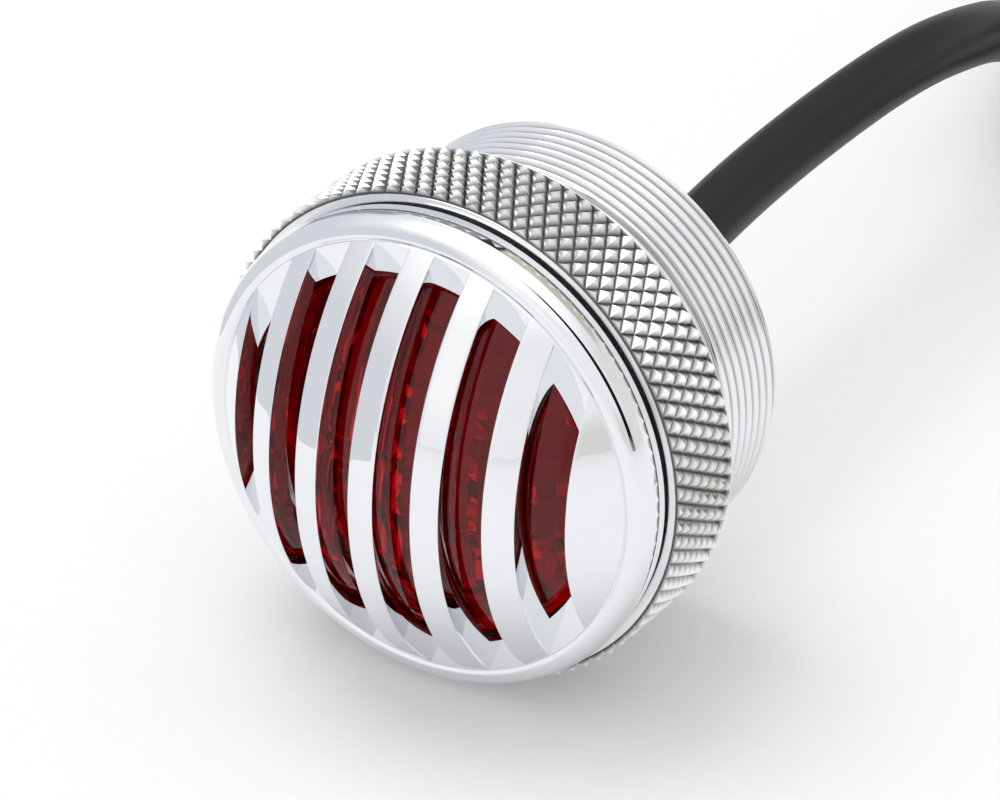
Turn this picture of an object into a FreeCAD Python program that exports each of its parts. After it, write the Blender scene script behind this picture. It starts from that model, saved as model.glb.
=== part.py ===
"""Motorcycle tail light: a round lamp with a finned grille cap over a red lens, a threaded barrel
with a knurled locking collar that screws along it, and a lead that ends in three bullet terminals.

Frame: millimetres, +Z up. The lamp lies on its knurled collar with its axis along Y and its
grille towards -Y. The origin is on the resting surface, under the middle of the lamp.
Inside this file the lamp's own pieces are drawn about the lamp axis, with y = 0 on the flat floor
of the grille's slots, and `seat_lamp` then puts them in the frame.
"""
import FreeCAD, Part
import math
import os
import Sketcher
from FreeCAD import Placement, Rotation, Vector

# Driving dimensions, in mm: alias, value, what it is.
SIZES = [
    ("dome_overhang", 0.275, "reach of the dome past the barrel thread"),
    ("dome_height", 10.73, "height of the dome in front of the slot floor"),
    ("fin_depth", 3.1, "depth of a fin along the lamp axis"),
    ("slot_pitch", 6.63, "slot to slot"),
    ("slot_width", 3.89, "width of a slot"),
    ("slot_land", 2.97, "flat floor at the slot ends, from the dome's edge to the window"),
    ("plate_thickness", 1.4, "cap plate that the slots end on"),
    ("rim_reach", 2.23, "reach of the cap's crease past the dome"),
    ("crease_depth", 2.1, "crease of the cap, behind the slot floor"),
    ("rim_radius", 1.9, "rounding of the cap's front rim"),
    ("band_taper", 0.43, "how much the cap's side band narrows towards the rear"),
    ("cap_rear", 4.5, "rear edge of the cap, behind the slot floor"),
    ("thread_radius", 22.225, "major radius of the barrel thread, 1-3/4 inch"),
    ("thread_pitch", 1.27, "20 threads to the inch"),
    ("thread_clearance", 0.05, "radial clearance of the cap and the collar on the thread"),
    ("end_clearance", 0.1, "axial clearance between seated pieces"),
    ("barrel_rear", 29.34, "rear end of the barrel"),
    ("barrel_chamfer", 0.6, "chamfer of the barrel's ends"),
    ("collar_wall", 3.695, "wall of the collar, from the thread to the top of the knurl"),
    ("collar_front", 4.95, "front face of the collar"),
    ("collar_length", 9.79, "length of the collar"),
    ("collar_chamfer", 0.7, "chamfer at the collar's ends"),
    ("relief_depth", 0.5, "depth of that relief"),
    ("washer_band", 1.375, "reach of the collar washer past the thread"),
    ("washer_thickness", 0.3, "thickness of the collar washer"),
    ("barrel_wall", 3.325, "wall of the barrel round its front bore"),
    ("board_ledge", 3.5, "ledge that the circuit board sits on"),
    ("lens_ledge", 1.85, "ledge under the lens gasket"),
    ("lens_seat", 3.8, "shoulder under the lens gasket"),
    ("gasket_thickness", 0.8, "lens gasket"),
    ("flange_clearance", 0.15, "radial clearance of the lens flange"),
    ("lens_play", 0.23, "radial room between the lens and the window"),
    ("lens_rim", 1.3, "where the lens dome starts"),
    ("lens_gap", 0.63, "gap between the top of the lens and the fins"),
    ("lens_wall", 2.2, "wall of the lens"),
    ("board_seat", 14.0, "shoulder that the circuit board sits on"),
    ("board_thickness", 1.6, "circuit board"),
    ("board_clearance", 0.2, "radial clearance of the board and the reflector"),
    ("end_wall", 3.0, "rear wall of the barrel"),
    ("gland_radius", 5.5, "hole for the strain relief"),
    ("reflector_wall", 0.8, "wall of the reflector"),
    ("reflector_inset", 2.0, "foot of the reflector inside the rear bore"),
    ("screw_inset", 1.65, "board screws outside the rear bore"),
    ("screw_radius", 0.98, "M2 board screw"),
    ("screw_head_radius", 1.7, "head of the board screw"),
    ("screw_head_height", 1.1, "height of that head"),
    ("screw_length", 4.5, "length of the screw under its head"),
    ("screw_slot_length", 2.4, "driver slot in the screw's head"),
    ("screw_slot_width", 0.4, "width of that slot"),
    ("screw_slot_depth", 0.45, "depth of that slot"),
    ("led_side", 3.0, "square package of a light source"),
    ("led_height", 1.2, "height of that package"),
    ("brake_circle", 9.0, "radius of the brake light sources' circle"),
    ("tail_circle", 3.8, "radius of the tail light sources' circle"),
    ("resistor_length", 3.2, "chip resistor"),
    ("resistor_width", 1.6, "width of that resistor"),
    ("resistor_height", 0.7, "height of that resistor"),
    ("resistor_spacing", 4.4, "resistor to resistor"),
    ("resistor_row", 7.5, "row of resistors above the middle of the board"),
    ("regulator_width", 6.6, "voltage regulator"),
    ("regulator_length", 6.2, "length of the regulator up the board"),
    ("regulator_height", 2.3, "height of the regulator"),
    ("regulator_drop", 8.0, "regulator below the middle of the board"),
    ("cable_radius", 3.3, "jacket of the lead"),
    ("core_radius", 0.75, "insulated core"),
    ("core_circle", 5.0, "radius of the circle where the cores meet the board"),
    ("core_bundle", 1.7, "radius of the cores' circle inside the jacket"),
    ("boot_length", 15.0, "strain relief behind the barrel"),
    ("boot_tip_wall", 0.9, "wall of the boot at its thin end"),
    ("boot_flange", 1.5, "thickness of the boot's flanges, inside and outside the wall"),
    ("boot_inner_lip", 2.0, "reach of the inner flange past the hole"),
    ("boot_outer_lip", 1.2, "reach of the outer flange past the hole"),
    ("boot_shoulder", 0.7, "length of the shoulder between outer flange and taper"),
    ("boot_shoulder_step", 0.3, "how far the taper starts inside the hole's radius"),
    ("stop_wall", 0.8, "wall of the crimped stop"),
    ("stop_length", 1.2, "length of the crimped stop"),
    ("tie_width", 5.0, "width of the tie on the coil"),
    ("tie_thickness", 0.8, "thickness of that tie"),
    ("coil_radius", 33.0, "middle radius of the coil's turns"),
    ("sleeve_wall", 0.5, "wall of the sleeve on the jacket's end"),
    ("sleeve_length", 8.0, "length of that sleeve"),
    ("lead_length", 18.0, "length of the leads from the sleeve to the terminals"),
    ("lead_spacing", 1.9, "leads side by side where they leave the sleeve"),
    ("terminal_neck_radius", 1.5, "waist of a bullet terminal"),
    ("terminal_neck_arc", 0.8, "radius of the waist's rounding"),
    ("terminal_neck_place", 4.95, "waist behind the terminal's tip"),
    ("terminal_radius", 1.95, "bullet terminal, 4 mm size"),
    ("terminal_length", 9.0, "bullet in front of its insulating sleeve"),
    ("terminal_sleeve_radius", 2.4, "insulating sleeve of a bullet terminal"),
    ("terminal_sleeve_length", 14.0, "length of that sleeve"),
    ("terminal_spacing", 5.8, "terminals side by side"),
]

# Hand-chosen route of the lead in the frame, from inside the barrel to the coil, then from the
# coil to the sleeve where the jacket ends.
COIL_CENTRE = (20.0, 150.0)
ROUTE = [
    (0.0, 14.0, 25.92),
    (0.0, 34.0, 25.92),
    (-1.4, 56.0, 26.6),
    (-1.2, 84.0, 26.0),
    (-2.5, 103.0, 21.0),
    (-8.0, 121.0, 11.5),
    (-12.3, 137.0, 4.9),
    (-13.0, 150.0, 3.3),
]
TAIL = [
    (53.0, 150.0, 9.9),
    (53.4, 134.0, 10.2),
    (53.0, 118.0, 5.4),
    (52.6, 106.0, 4.0),
]
CORE_COLOURS = ("red", "yellow", "black")

doc = FreeCAD.newDocument("tail_light")
sheet = doc.addObject("Spreadsheet::Sheet", "Sizes")
for row, (alias, value, note) in enumerate(SIZES, start=1):
    sheet.set(f"A{row}", alias)
    sheet.set(f"B{row}", str(value))
    sheet.set(f"C{row}", note)
    sheet.setAlias(f"B{row}", alias)
doc.recompute()


class Dim:
    """A length with the sheet formula that it comes from, so that one sum gives both."""

    def __init__(self, number, formula):
        self.number = float(number)
        self.formula = formula

    def _join(self, other, sign, number):
        return Dim(number, f"({self.formula} {sign} {as_dim(other).formula})")

    def __add__(self, other):
        return self._join(other, "+", self.number + as_dim(other).number)

    def __sub__(self, other):
        return self._join(other, "-", self.number - as_dim(other).number)

    def __mul__(self, other):
        return self._join(other, "*", self.number * as_dim(other).number)

    def __truediv__(self, other):
        return self._join(other, "/", self.number / as_dim(other).number)

    def __neg__(self):
        return Dim(-self.number, f"(-1 * {self.formula})")

    __radd__ = __add__
    __rmul__ = __mul__

    def __rsub__(self, other):
        return as_dim(other) - self


def as_dim(value):
    return value if isinstance(value, Dim) else Dim(value, repr(float(value)))


def size(alias):
    """A driving dimension from the sheet."""
    return Dim(sheet.get(alias), f"Sizes.{alias}")


def squared(dim):
    return dim * dim


def root(dim):
    return Dim(math.sqrt(dim.number), f"sqrt({dim.formula})")


def sphere_through(rim, rise):
    """The radius of a sphere whose cap has this rim radius and this rise."""
    return (squared(rim) + squared(rise)) / (2 * rise)


def bind(thing, field, value):
    """Tie one property of an object to the sheet."""
    thing.setExpression(field, as_dim(value).formula)


def origin_plane(body, role):
    return next(f for f in body.Origin.OriginFeatures if f.Role == role)


def fix_point(sketch, geo, pos, across, up):
    """Hold a sketch point at a distance across and up from the sketch's origin."""
    for axis, kind, value in ((-2, "DistanceX", across), (-1, "DistanceY", up)):
        if value is None:
            continue
        value = as_dim(value)
        if value.number == 0:
            sketch.addConstraint(Sketcher.Constraint("PointOnObject", geo, pos, axis))
            continue
        ends = (-1, 1, geo, pos) if value.number > 0 else (geo, pos, -1, 1)
        shown = value if value.number > 0 else -value
        index = sketch.addConstraint(Sketcher.Constraint(kind, *ends, shown.number))
        sketch.setExpression(f"Constraints[{index}]", shown.formula)


def outline(body, name, role, points, offset=None):
    """A sketch of a closed outline. Each point is (across, up), or (across, up, centre, held) where
    the edge that arrives at it is an arc about that centre, which holds one of its two places."""
    sketch = body.newObject("Sketcher::SketchObject", name)
    sketch.AttachmentSupport = [(origin_plane(body, role), "")]
    sketch.MapMode = "FlatFace"
    if offset is not None:
        bind(sketch, "AttachmentOffset.Base.z", offset)
    flat = [Vector(as_dim(p[0]).number, as_dim(p[1]).number, 0) for p in points]
    ends = []
    for i, point in enumerate(points):
        start, end = flat[i - 1], flat[i]
        if len(point) == 2:
            geo = sketch.addGeometry(Part.LineSegment(start, end), False)
            ends.append((geo, 1, 2))
            continue
        centre = Vector(as_dim(point[2][0]).number, as_dim(point[2][1]).number, 0)
        angles = [math.atan2(v.y - centre.y, v.x - centre.x) for v in (start, end)]
        forward = (angles[1] - angles[0]) % (2 * math.pi) < math.pi
        if not forward:
            angles.reverse()
        circle = Part.Circle(centre, Vector(0, 0, 1), (start - centre).Length)
        geo = sketch.addGeometry(Part.ArcOfCircle(circle, angles[0], angles[1]), False)
        ends.append((geo, 1, 2) if forward else (geo, 2, 1))
    for i, (geo, first, last) in enumerate(ends):
        following, its_first, _ = ends[(i + 1) % len(ends)]
        sketch.addConstraint(
            Sketcher.Constraint("Coincident", geo, last, following, its_first)
        )
    for point, (geo, _, last) in zip(points, ends):
        if len(point) == 2:
            fix_point(sketch, geo, last, point[0], point[1])
        else:
            held_across = point[3] == "across"
            fix_point(
                sketch, geo, last, point[0] if held_across else None, None if held_across else point[1]
            )
            fix_point(sketch, geo, 3, point[2][0], point[2][1])
    return sketch


def turned(body, name, points, role="XY_Plane", angle=360.0):
    """Turn an outline about the upright axis of its sketch."""
    sketch = outline(body, name + "_outline", role, points)
    solid = body.newObject("PartDesign::Revolution", name)
    solid.Profile = sketch
    solid.ReferenceAxis = (sketch, ["V_Axis"])
    solid.Angle = angle
    return solid


def new_body(label):
    body = doc.addObject("PartDesign::Body", label)
    body.Label = label
    return body


def turned_body(label, points):
    body = new_body(label)
    turned(body, label + "_turned", points)
    return body


def placed(thing, x, y, z):
    for field, value in zip("xyz", (x, y, z)):
        bind(thing, f"Placement.Base.{field}", value)
    return thing


def cylinder(name, radius, length, x, y, z):
    """A cylinder whose axis runs along +Y from the given point."""
    solid = doc.addObject("Part::Cylinder", name)
    bind(solid, "Radius", radius)
    bind(solid, "Height", length)
    solid.Placement = Placement(Vector(), Rotation(Vector(1, 0, 0), -90))
    return placed(solid, x, y, z)


def block(name, width, length, height, x, y, z):
    """A box centred across on x and z, running along +Y from y."""
    solid = doc.addObject("Part::Box", name)
    bind(solid, "Length", width)
    bind(solid, "Width", length)
    bind(solid, "Height", height)
    return placed(solid, x - width / 2, y, z - height / 2)


def combined(kind, label, base, tool):
    solid = doc.addObject(kind, label)
    solid.Label = label
    solid.Base = base
    solid.Tool = tool
    return solid


def group(label, solids):
    """Like pieces that share a node as separate solids."""
    bundle = doc.addObject("Part::Compound", label)
    bundle.Label = label
    bundle.Links = solids
    return bundle


def around(radius, count, start=90.0):
    """Evenly spaced places (x, z) on a circle about the lamp axis."""
    for i in range(count):
        angle = math.radians(start + 360.0 * i / count)
        yield radius * math.cos(angle), radius * math.sin(angle)


# Radii that follow from the thread and the walls and ledges beside it.
thread_radius = size("thread_radius")
dome_radius = thread_radius + size("dome_overhang")
window_radius = dome_radius - size("slot_land")
crease_radius = dome_radius + size("rim_reach")
cap_rear_radius = crease_radius - size("band_taper")
collar_radius = thread_radius + size("collar_wall")
washer_radius = thread_radius + size("washer_band")
bore_radius = thread_radius - size("barrel_wall")
rear_bore_radius = bore_radius - size("board_ledge")
lens_seat_radius = bore_radius + size("lens_ledge")
lens_rim_radius = window_radius - size("lens_play")
reflector_foot_radius = rear_bore_radius - size("reflector_inset")
screw_circle = rear_bore_radius + size("screw_inset")

# Places along the lamp axis that follow from the driving dimensions.
axis_height = collar_radius
lens_rise = size("dome_height") - size("fin_depth") - size("lens_gap") + size("lens_rim")
lamp_middle = (size("barrel_rear") - size("dome_height")) / 2
dome_sphere = sphere_through(dome_radius, size("dome_height"))
dome_centre = dome_sphere - size("dome_height")
fin_centre = dome_centre + size("fin_depth")
barrel_front = size("plate_thickness") + size("end_clearance")
lens_front = size("plate_thickness") + size("end_clearance") / 2
lens_back = size("lens_seat") - size("gasket_thickness")
lens_sphere = sphere_through(lens_rim_radius, lens_rise)
lens_apex = size("lens_rim") - lens_rise
lens_centre = lens_apex + lens_sphere
lens_inner_sphere = lens_sphere - size("lens_wall")
lens_inner_radius = root(squared(lens_inner_sphere) - squared(lens_centre - lens_back))
flange_radius = lens_seat_radius - size("flange_clearance")
bore_on_thread = thread_radius + size("thread_clearance")
board_front = size("board_seat") - size("board_thickness")
board_radius = bore_radius - size("board_clearance")
wall_front = size("barrel_rear") - size("end_wall")
collar_rear = size("collar_front") + size("collar_length")
cable_radius = size("cable_radius")


def seat_lamp(thing):
    """Move a piece drawn about the lamp axis into the frame."""
    return placed(thing, 0, -lamp_middle, axis_height)


def make_grille_cap():
    """Domed grille: a dished shell cut by six straight slots, and the rim that screws on."""
    body = new_body("grille_cap")
    window, plate = window_radius, size("plate_thickness")
    fin_edge = fin_centre - root(squared(dome_sphere) - squared(window))
    turned(
        body,
        "grille_dome",
        [
            (0, -size("dome_height")),
            (dome_radius, 0, (0, dome_centre), "across"),
            (dome_radius, plate),
            (window, plate),
            (window, fin_edge),
            (0, size("fin_depth") - size("dome_height"), (0, fin_centre), "across"),
        ],
    )
    doc.recompute()
    whole = body.Shape.Volume
    half_width, reach = size("slot_width") / 2, dome_radius + 1
    first = -2.5 * size("slot_pitch")
    sketch = outline(
        body,
        "slot_outline",
        "XZ_Plane",
        [
            (first - half_width, -reach),
            (first + half_width, -reach),
            (first + half_width, reach),
            (first - half_width, reach),
        ],
    )
    slot = body.newObject("PartDesign::Pocket", "slot")
    slot.Profile = sketch
    slot.Type = "Length"
    bind(slot, "Length", size("dome_height") + 1)
    slot.Reversed = True
    doc.recompute()
    row = body.newObject("PartDesign::LinearPattern", "slot_row")
    row.Originals = [slot]
    row.Direction = (sketch, ["H_Axis"])
    bind(row, "Length", 5 * size("slot_pitch"))
    row.Occurrences = 6
    body.Tip = row
    doc.recompute()
    if body.Shape.Volume > 0.75 * whole:
        raise RuntimeError("the slots cut too little of the dome")
    rim = size("rim_radius")
    rim_centre_across = crease_radius - rim
    rim_centre = (
        rim_centre_across,
        root(squared(rim) - squared(rim_centre_across - dome_radius)),
    )
    turned(
        body,
        "grille_rim",
        [
            (dome_radius, 0),
            (crease_radius, rim_centre[1], rim_centre, "up"),
            (crease_radius, size("crease_depth")),
            (cap_rear_radius, size("cap_rear")),
            (bore_on_thread, size("cap_rear")),
            (bore_on_thread, plate),
            (window, plate),
            (window, 0),
        ],
    )
    return body


def make_threaded_barrel():
    """Cup with a fine thread, a seat for the lens, a shoulder for the board and a rear wall."""
    thread, chamfer = thread_radius, size("barrel_chamfer")
    relief_start = collar_rear + size("end_clearance")
    relief_end = relief_start + size("thread_pitch") / 2
    relief_radius = thread - size("relief_depth")
    rear = size("barrel_rear")
    body = new_body("threaded_barrel")
    turned(
        body,
        "barrel_wall",
        [
            (thread - chamfer, barrel_front),
            (thread, barrel_front + chamfer),
            (thread, relief_start),
            (relief_radius, relief_start),
            (relief_radius, relief_end),
            (thread, relief_end),
            (thread, rear - chamfer),
            (thread - chamfer, rear),
            (size("gland_radius"), rear),
            (size("gland_radius"), wall_front),
            (rear_bore_radius, wall_front),
            (rear_bore_radius, size("board_seat")),
            (bore_radius, size("board_seat")),
            (bore_radius, size("lens_seat")),
            (lens_seat_radius, size("lens_seat")),
            (lens_seat_radius, barrel_front),
        ],
    )
    doc.recompute()
    solid = body.Shape.Volume
    sketch = body.newObject("Sketcher::SketchObject", "screw_hole_circle")
    sketch.AttachmentSupport = [(origin_plane(body, "XZ_Plane"), "")]
    sketch.MapMode = "FlatFace"
    bind(sketch, "AttachmentOffset.Base.z", -size("board_seat"))
    at = Vector(0, screw_circle.number, 0)
    sketch.addGeometry(Part.Circle(at, Vector(0, 0, 1), size("screw_radius").number), False)
    fix_point(sketch, 0, 3, 0, screw_circle)
    index = sketch.addConstraint(
        Sketcher.Constraint("Radius", 0, size("screw_radius").number)
    )
    sketch.setExpression(f"Constraints[{index}]", size("screw_radius").formula)
    hole = body.newObject("PartDesign::Pocket", "screw_hole")
    hole.Profile = sketch
    hole.Type = "Length"
    bind(hole, "Length", size("screw_length"))
    doc.recompute()
    ring = body.newObject("PartDesign::PolarPattern", "screw_holes")
    ring.Originals = [hole]
    ring.Axis = (sketch, ["N_Axis"])
    ring.Angle = 360
    ring.Occurrences = 3
    body.Tip = ring
    doc.recompute()
    if body.Shape.Volume > solid - 20:
        raise RuntimeError("the screw holes cut nothing")
    return body


def make_knurled_collar():
    """Locking collar that screws along the barrel."""
    outer, chamfer = collar_radius, size("collar_chamfer")
    front = size("collar_front")
    return turned_body(
        "knurled_collar",
        [
            (bore_on_thread, front),
            (outer - chamfer, front),
            (outer, front + chamfer),
            (outer, collar_rear - chamfer),
            (outer - chamfer, collar_rear),
            (bore_on_thread, collar_rear),
        ],
    )


def ring_outline(inner, outer, front, back):
    return [(inner, front), (outer, front), (outer, back), (inner, back)]


def make_collar_washer():
    """Rubber washer that the collar presses against whatever the lamp is mounted in."""
    back = size("collar_front") - size("end_clearance") / 2
    inner = thread_radius + 3 * size("thread_clearance")
    return turned_body(
        "collar_washer",
        ring_outline(inner, washer_radius, back - size("washer_thickness"), back),
    )


def make_tail_lens():
    """Domed red lens with a flange that the cap clamps."""
    return turned_body(
        "tail_lens",
        [
            (0, lens_apex),
            (lens_rim_radius, size("lens_rim"), (0, lens_centre), "across"),
            (lens_rim_radius, lens_front),
            (flange_radius, lens_front),
            (flange_radius, lens_back),
            (lens_inner_radius, lens_back),
            (0, lens_apex + size("lens_wall"), (0, lens_centre), "across"),
        ],
    )


def make_lens_gasket():
    inner = bore_radius + size("board_clearance")
    return turned_body(
        "lens_gasket", ring_outline(inner, flange_radius, lens_back, size("lens_seat"))
    )


def make_reflector():
    """Conical reflector held between the board and the lens."""
    foot, wall = reflector_foot_radius, size("reflector_wall")
    front = lens_back + size("end_clearance") / 2
    rim = bore_radius - 2 * size("board_clearance")
    slope_wall = wall * 1.25
    return turned_body(
        "reflector",
        [
            (foot, board_front),
            (foot - slope_wall, board_front),
            (foot - slope_wall, board_front - wall),
            (rim - wall, front + wall),
            (rim - wall, front),
            (rim, front),
        ],
    )


def make_board():
    """Round circuit board with clearance holes for its screws."""
    disc = cylinder("board_disc", board_radius, size("board_thickness"), 0, board_front, 0)
    holes = [
        cylinder(
            f"board_hole_{i}", size("screw_radius") + size("board_clearance"),
            size("board_thickness") + 2, x, board_front - 1, z,
        )
        for i, (x, z) in enumerate(around_dim(screw_circle, 3))
    ]
    tool = doc.addObject("Part::MultiFuse", "board_hole_tools")
    tool.Shapes = holes
    return combined("Part::Cut", "led_board", disc, tool)


def around_dim(radius, count, start=90.0):
    """As `around`, for a radius from the sheet."""
    for x, z in around(1.0, count, start):
        yield radius * round(x, 6), radius * round(z, 6)


def make_board_screws():
    screws = []
    for i, (x, z) in enumerate(around_dim(screw_circle, 3)):
        head_front = board_front - size("screw_head_height")
        head = cylinder(
            f"screw_head_{i}", size("screw_head_radius"), size("screw_head_height"),
            x, head_front, z,
        )
        shank = cylinder(
            f"screw_shank_{i}", size("screw_radius") - size("thread_clearance"),
            size("screw_length"), x, board_front - size("end_clearance"), z,
        )
        slot = block(
            f"screw_slot_{i}", size("screw_slot_length"), size("screw_slot_depth"),
            size("screw_slot_width"), x, head_front, z,
        )
        joined = combined("Part::Fuse", f"screw_blank_{i}", head, shank)
        screws.append(combined("Part::Cut", f"board_screw_{i}", joined, slot))
    return group("board_screws", screws)


def make_leds():
    """Surface-mounted light sources: an outer ring for the brake light, four for the tail light."""
    side, height = size("led_side"), size("led_height")
    nodes = []
    for label, circle, count in (("brake_leds", "brake_circle", 8), ("tail_leds", "tail_circle", 4)):
        places = around_dim(size(circle), count, 22.5)
        nodes.append(
            group(
                label,
                [
                    block(f"{label}_{i}", side, height, side, x, board_front - height, z)
                    for i, (x, z) in enumerate(places)
                ],
            )
        )
    return nodes


def make_board_parts():
    """Resistors and the regulator on the rear of the board."""
    seat = size("board_seat")
    chips = [
        block(
            f"resistor_{i}", size("resistor_length"), size("resistor_height"),
            size("resistor_width"), (i - 1.5) * size("resistor_spacing"), seat, size("resistor_row"),
        )
        for i in range(4)
    ]
    package = block(
        "regulator_package", size("regulator_width"), size("regulator_height"),
        size("regulator_length"), as_dim(0), seat, -size("regulator_drop"),
    )
    return [group("resistors", chips), group("regulator", [package])]


def bent_path(points):
    """Straight runs joined by tangent arcs as large as the runs allow, and their radii."""
    route = [Vector(*p) for p in points]
    edges, radii, start = [], [], route[0]
    for before, corner, after in zip(route, route[1:], route[2:]):
        back, on = (before - corner), (after - corner)
        shorter = 0.45 * min(back.Length, on.Length)
        back.normalize()
        on.normalize()
        half_turn = (math.pi - back.getAngle(on)) / 2
        radii.append(shorter / math.tan(half_turn))
        arc_start, arc_end = corner + back * shorter, corner + on * shorter
        inward = (back + on).normalize()
        reach = radii[-1] / math.cos(half_turn) - radii[-1]
        edges.append(Part.LineSegment(start, arc_start).toShape())
        edges.append(Part.Arc(arc_start, corner + inward * reach, arc_end).toShape())
        start = arc_end
    edges.append(Part.LineSegment(start, route[-1]).toShape())
    return Part.Wire(edges), radii


def tube(label, points, radius):
    """A round solid along a route, checked against its section times its length."""
    path, radii = bent_path(points)
    first = Vector(*points[0])
    circle = Part.Circle(first, Vector(*points[1]) - first, radius)
    solid = path.makePipeShell([Part.Wire([circle.toShape()])], True, True)
    expected = math.pi * radius**2 * path.Length
    if abs(solid.Volume / expected - 1) > 0.01:
        raise RuntimeError(f"{label} has the wrong volume: {solid.Volume} for {expected}")
    print(f"{label}: length {path.Length:.1f}, radii {[round(r, 1) for r in radii]}")
    feature = doc.addObject("Part::Feature", label)
    feature.Label = label
    feature.Shape = solid
    return feature


def make_cores():
    """The three cores from the board to the jacket's end, inside the barrel."""
    radius = size("core_radius").number
    middle, floor = lamp_middle.number, axis_height.number
    start_y = size("board_seat").number - middle
    end_y = ROUTE[0][1]
    run = end_y - start_y
    on_board = around(size("core_circle").number, 3)
    in_jacket = around(size("core_bundle").number, 3)
    nodes = []
    for colour, (x, z), (inner_x, inner_z) in zip(CORE_COLOURS, on_board, in_jacket):
        nodes.append(
            tube(
                f"{colour}_core",
                [
                    (x, start_y, floor + z),
                    (x, start_y + 0.3 * run, floor + z),
                    (inner_x, start_y + 0.75 * run, floor + inner_z),
                    (inner_x, end_y, floor + inner_z),
                ],
                radius,
            )
        )
    return nodes


def make_cable_entry():
    """Strain relief through the rear wall, and the crimped stop that keeps the lead from pulling out."""
    gland, rear = size("gland_radius"), size("barrel_rear")
    neck = gland - size("thread_clearance")
    inner_face = wall_front - size("boot_flange")
    outer_face = rear + size("boot_flange")
    tip = cable_radius + size("boot_tip_wall")
    boot = turned_body(
        "strain_relief",
        [
            (cable_radius, inner_face),
            (gland + size("boot_inner_lip"), inner_face),
            (gland + size("boot_inner_lip"), wall_front),
            (neck, wall_front),
            (neck, rear),
            (gland + size("boot_outer_lip"), rear),
            (gland + size("boot_outer_lip"), outer_face),
            (neck - size("boot_shoulder_step"), outer_face + size("boot_shoulder")),
            (tip, rear + size("boot_length")),
            (cable_radius, rear + size("boot_length")),
        ],
    )
    stop = turned_body(
        "cable_stop",
        ring_outline(
            cable_radius, cable_radius + size("stop_wall"),
            inner_face - size("stop_length"), inner_face,
        ),
    )
    return [boot, stop]


def make_coil(*arriving):
    """The put-away length: one turn on the surface and most of a second turn on it, tied. The
    stretches of the lead that arrive at the coil keep their own room in it."""
    mean, wire = size("coil_radius"), cable_radius
    top = 4 * wire
    centre_x, centre_y = COIL_CENTRE
    body = new_body("coil_turns")

    def turn_outline(low, high):
        return [
            (mean - wire, low),
            (mean + wire, low),
            (mean + wire, high),
            (mean - wire, high),
        ]

    turned(body, "lower_turn", turn_outline(0, 2 * wire), "XZ_Plane")
    turned(body, "upper_turn", turn_outline(2 * wire, top), "XZ_Plane", 225.0)
    placed(body, as_dim(centre_x), as_dim(centre_y), 0)
    thickness, width = size("tie_thickness"), size("tie_width")
    outside = doc.addObject("Part::Box", "tie_outside")
    bind(outside, "Length", width)
    bind(outside, "Width", 2 * wire + 2 * thickness)
    bind(outside, "Height", top + thickness)
    placed(outside, centre_x - width / 2, centre_y + mean - wire - thickness, 0)
    inside = doc.addObject("Part::Box", "tie_inside")
    bind(inside, "Length", width + 2)
    bind(inside, "Width", 2 * wire)
    bind(inside, "Height", top - thickness)
    placed(inside, centre_x - width / 2 - 1, centre_y + mean - wire, thickness)
    tie = combined("Part::Cut", "coil_tie", outside, inside)
    taken = doc.addObject("Part::MultiFuse", "room_in_coil")
    taken.Shapes = [tie, *arriving]
    coil = combined("Part::Cut", "cable_coil", body, taken)
    return [coil, tie]


def make_lead_end(jacket):
    """Sleeve over the jacket's end, and three short leads with a bullet terminal on each."""
    x, y, z = TAIL[-1]
    length = size("sleeve_length")
    full = cylinder("sleeve_blank", cable_radius + size("sleeve_wall"), length, x, y - length, z)
    lead_start = y - length
    lead_end = lead_start - size("lead_length")
    nodes, sleeves, bullets = [combined("Part::Cut", "end_sleeve", full, jacket)], [], []
    outer, wire = size("terminal_sleeve_radius"), size("core_radius")
    straight = size("lead_length").number * 0.28
    for i, colour in enumerate(CORE_COLOURS):
        start_x = x + (i - 1) * size("lead_spacing")
        end_x = x + (i - 1) * size("terminal_spacing")
        nodes.append(
            tube(
                f"{colour}_lead",
                [
                    (start_x.number, lead_start.number, z),
                    (start_x.number, lead_start.number - straight, z),
                    (end_x.number, lead_end.number + straight, outer.number),
                    (end_x.number, lead_end.number, outer.number),
                ],
                wire.number,
            )
        )
        tip = lead_end - size("terminal_sleeve_length")
        skin = cylinder(
            f"terminal_skin_{i}", outer, size("terminal_sleeve_length"), end_x, tip, outer
        )
        reach = size("terminal_length")
        stem = cylinder(
            f"terminal_stem_{i}", size("terminal_radius"), reach, end_x, tip - reach, outer
        )
        neck = doc.addObject("Part::Torus", f"terminal_neck_{i}")
        bind(neck, "Radius1", size("terminal_neck_radius") + size("terminal_neck_arc"))
        bind(neck, "Radius2", size("terminal_neck_arc"))
        neck.Placement = Placement(Vector(), Rotation(Vector(1, 0, 0), -90))
        placed(neck, end_x, tip - reach + size("terminal_neck_place"), outer)
        sleeves.append(skin)
        bullets.append(combined("Part::Cut", f"terminal_{i}", stem, neck))
    return nodes + [group("terminal_sleeves", sleeves), group("bullet_terminals", bullets)]


lamp_pieces = [
    make_grille_cap(),
    make_threaded_barrel(),
    make_knurled_collar(),
    make_collar_washer(),
    make_tail_lens(),
    make_lens_gasket(),
    make_reflector(),
    make_board(),
    make_board_screws(),
    *make_leds(),
    *make_board_parts(),
    *make_cable_entry(),
]
for piece in lamp_pieces:
    seat_lamp(piece)
cable = tube("cable", ROUTE, cable_radius.number)
cable_tail = tube("cable_tail", TAIL, cable_radius.number)
frame_pieces = [
    *make_cores(),
    cable,
    cable_tail,
    *make_coil(cable, cable_tail),
    *make_lead_end(cable_tail),
]
doc.recompute()

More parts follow.
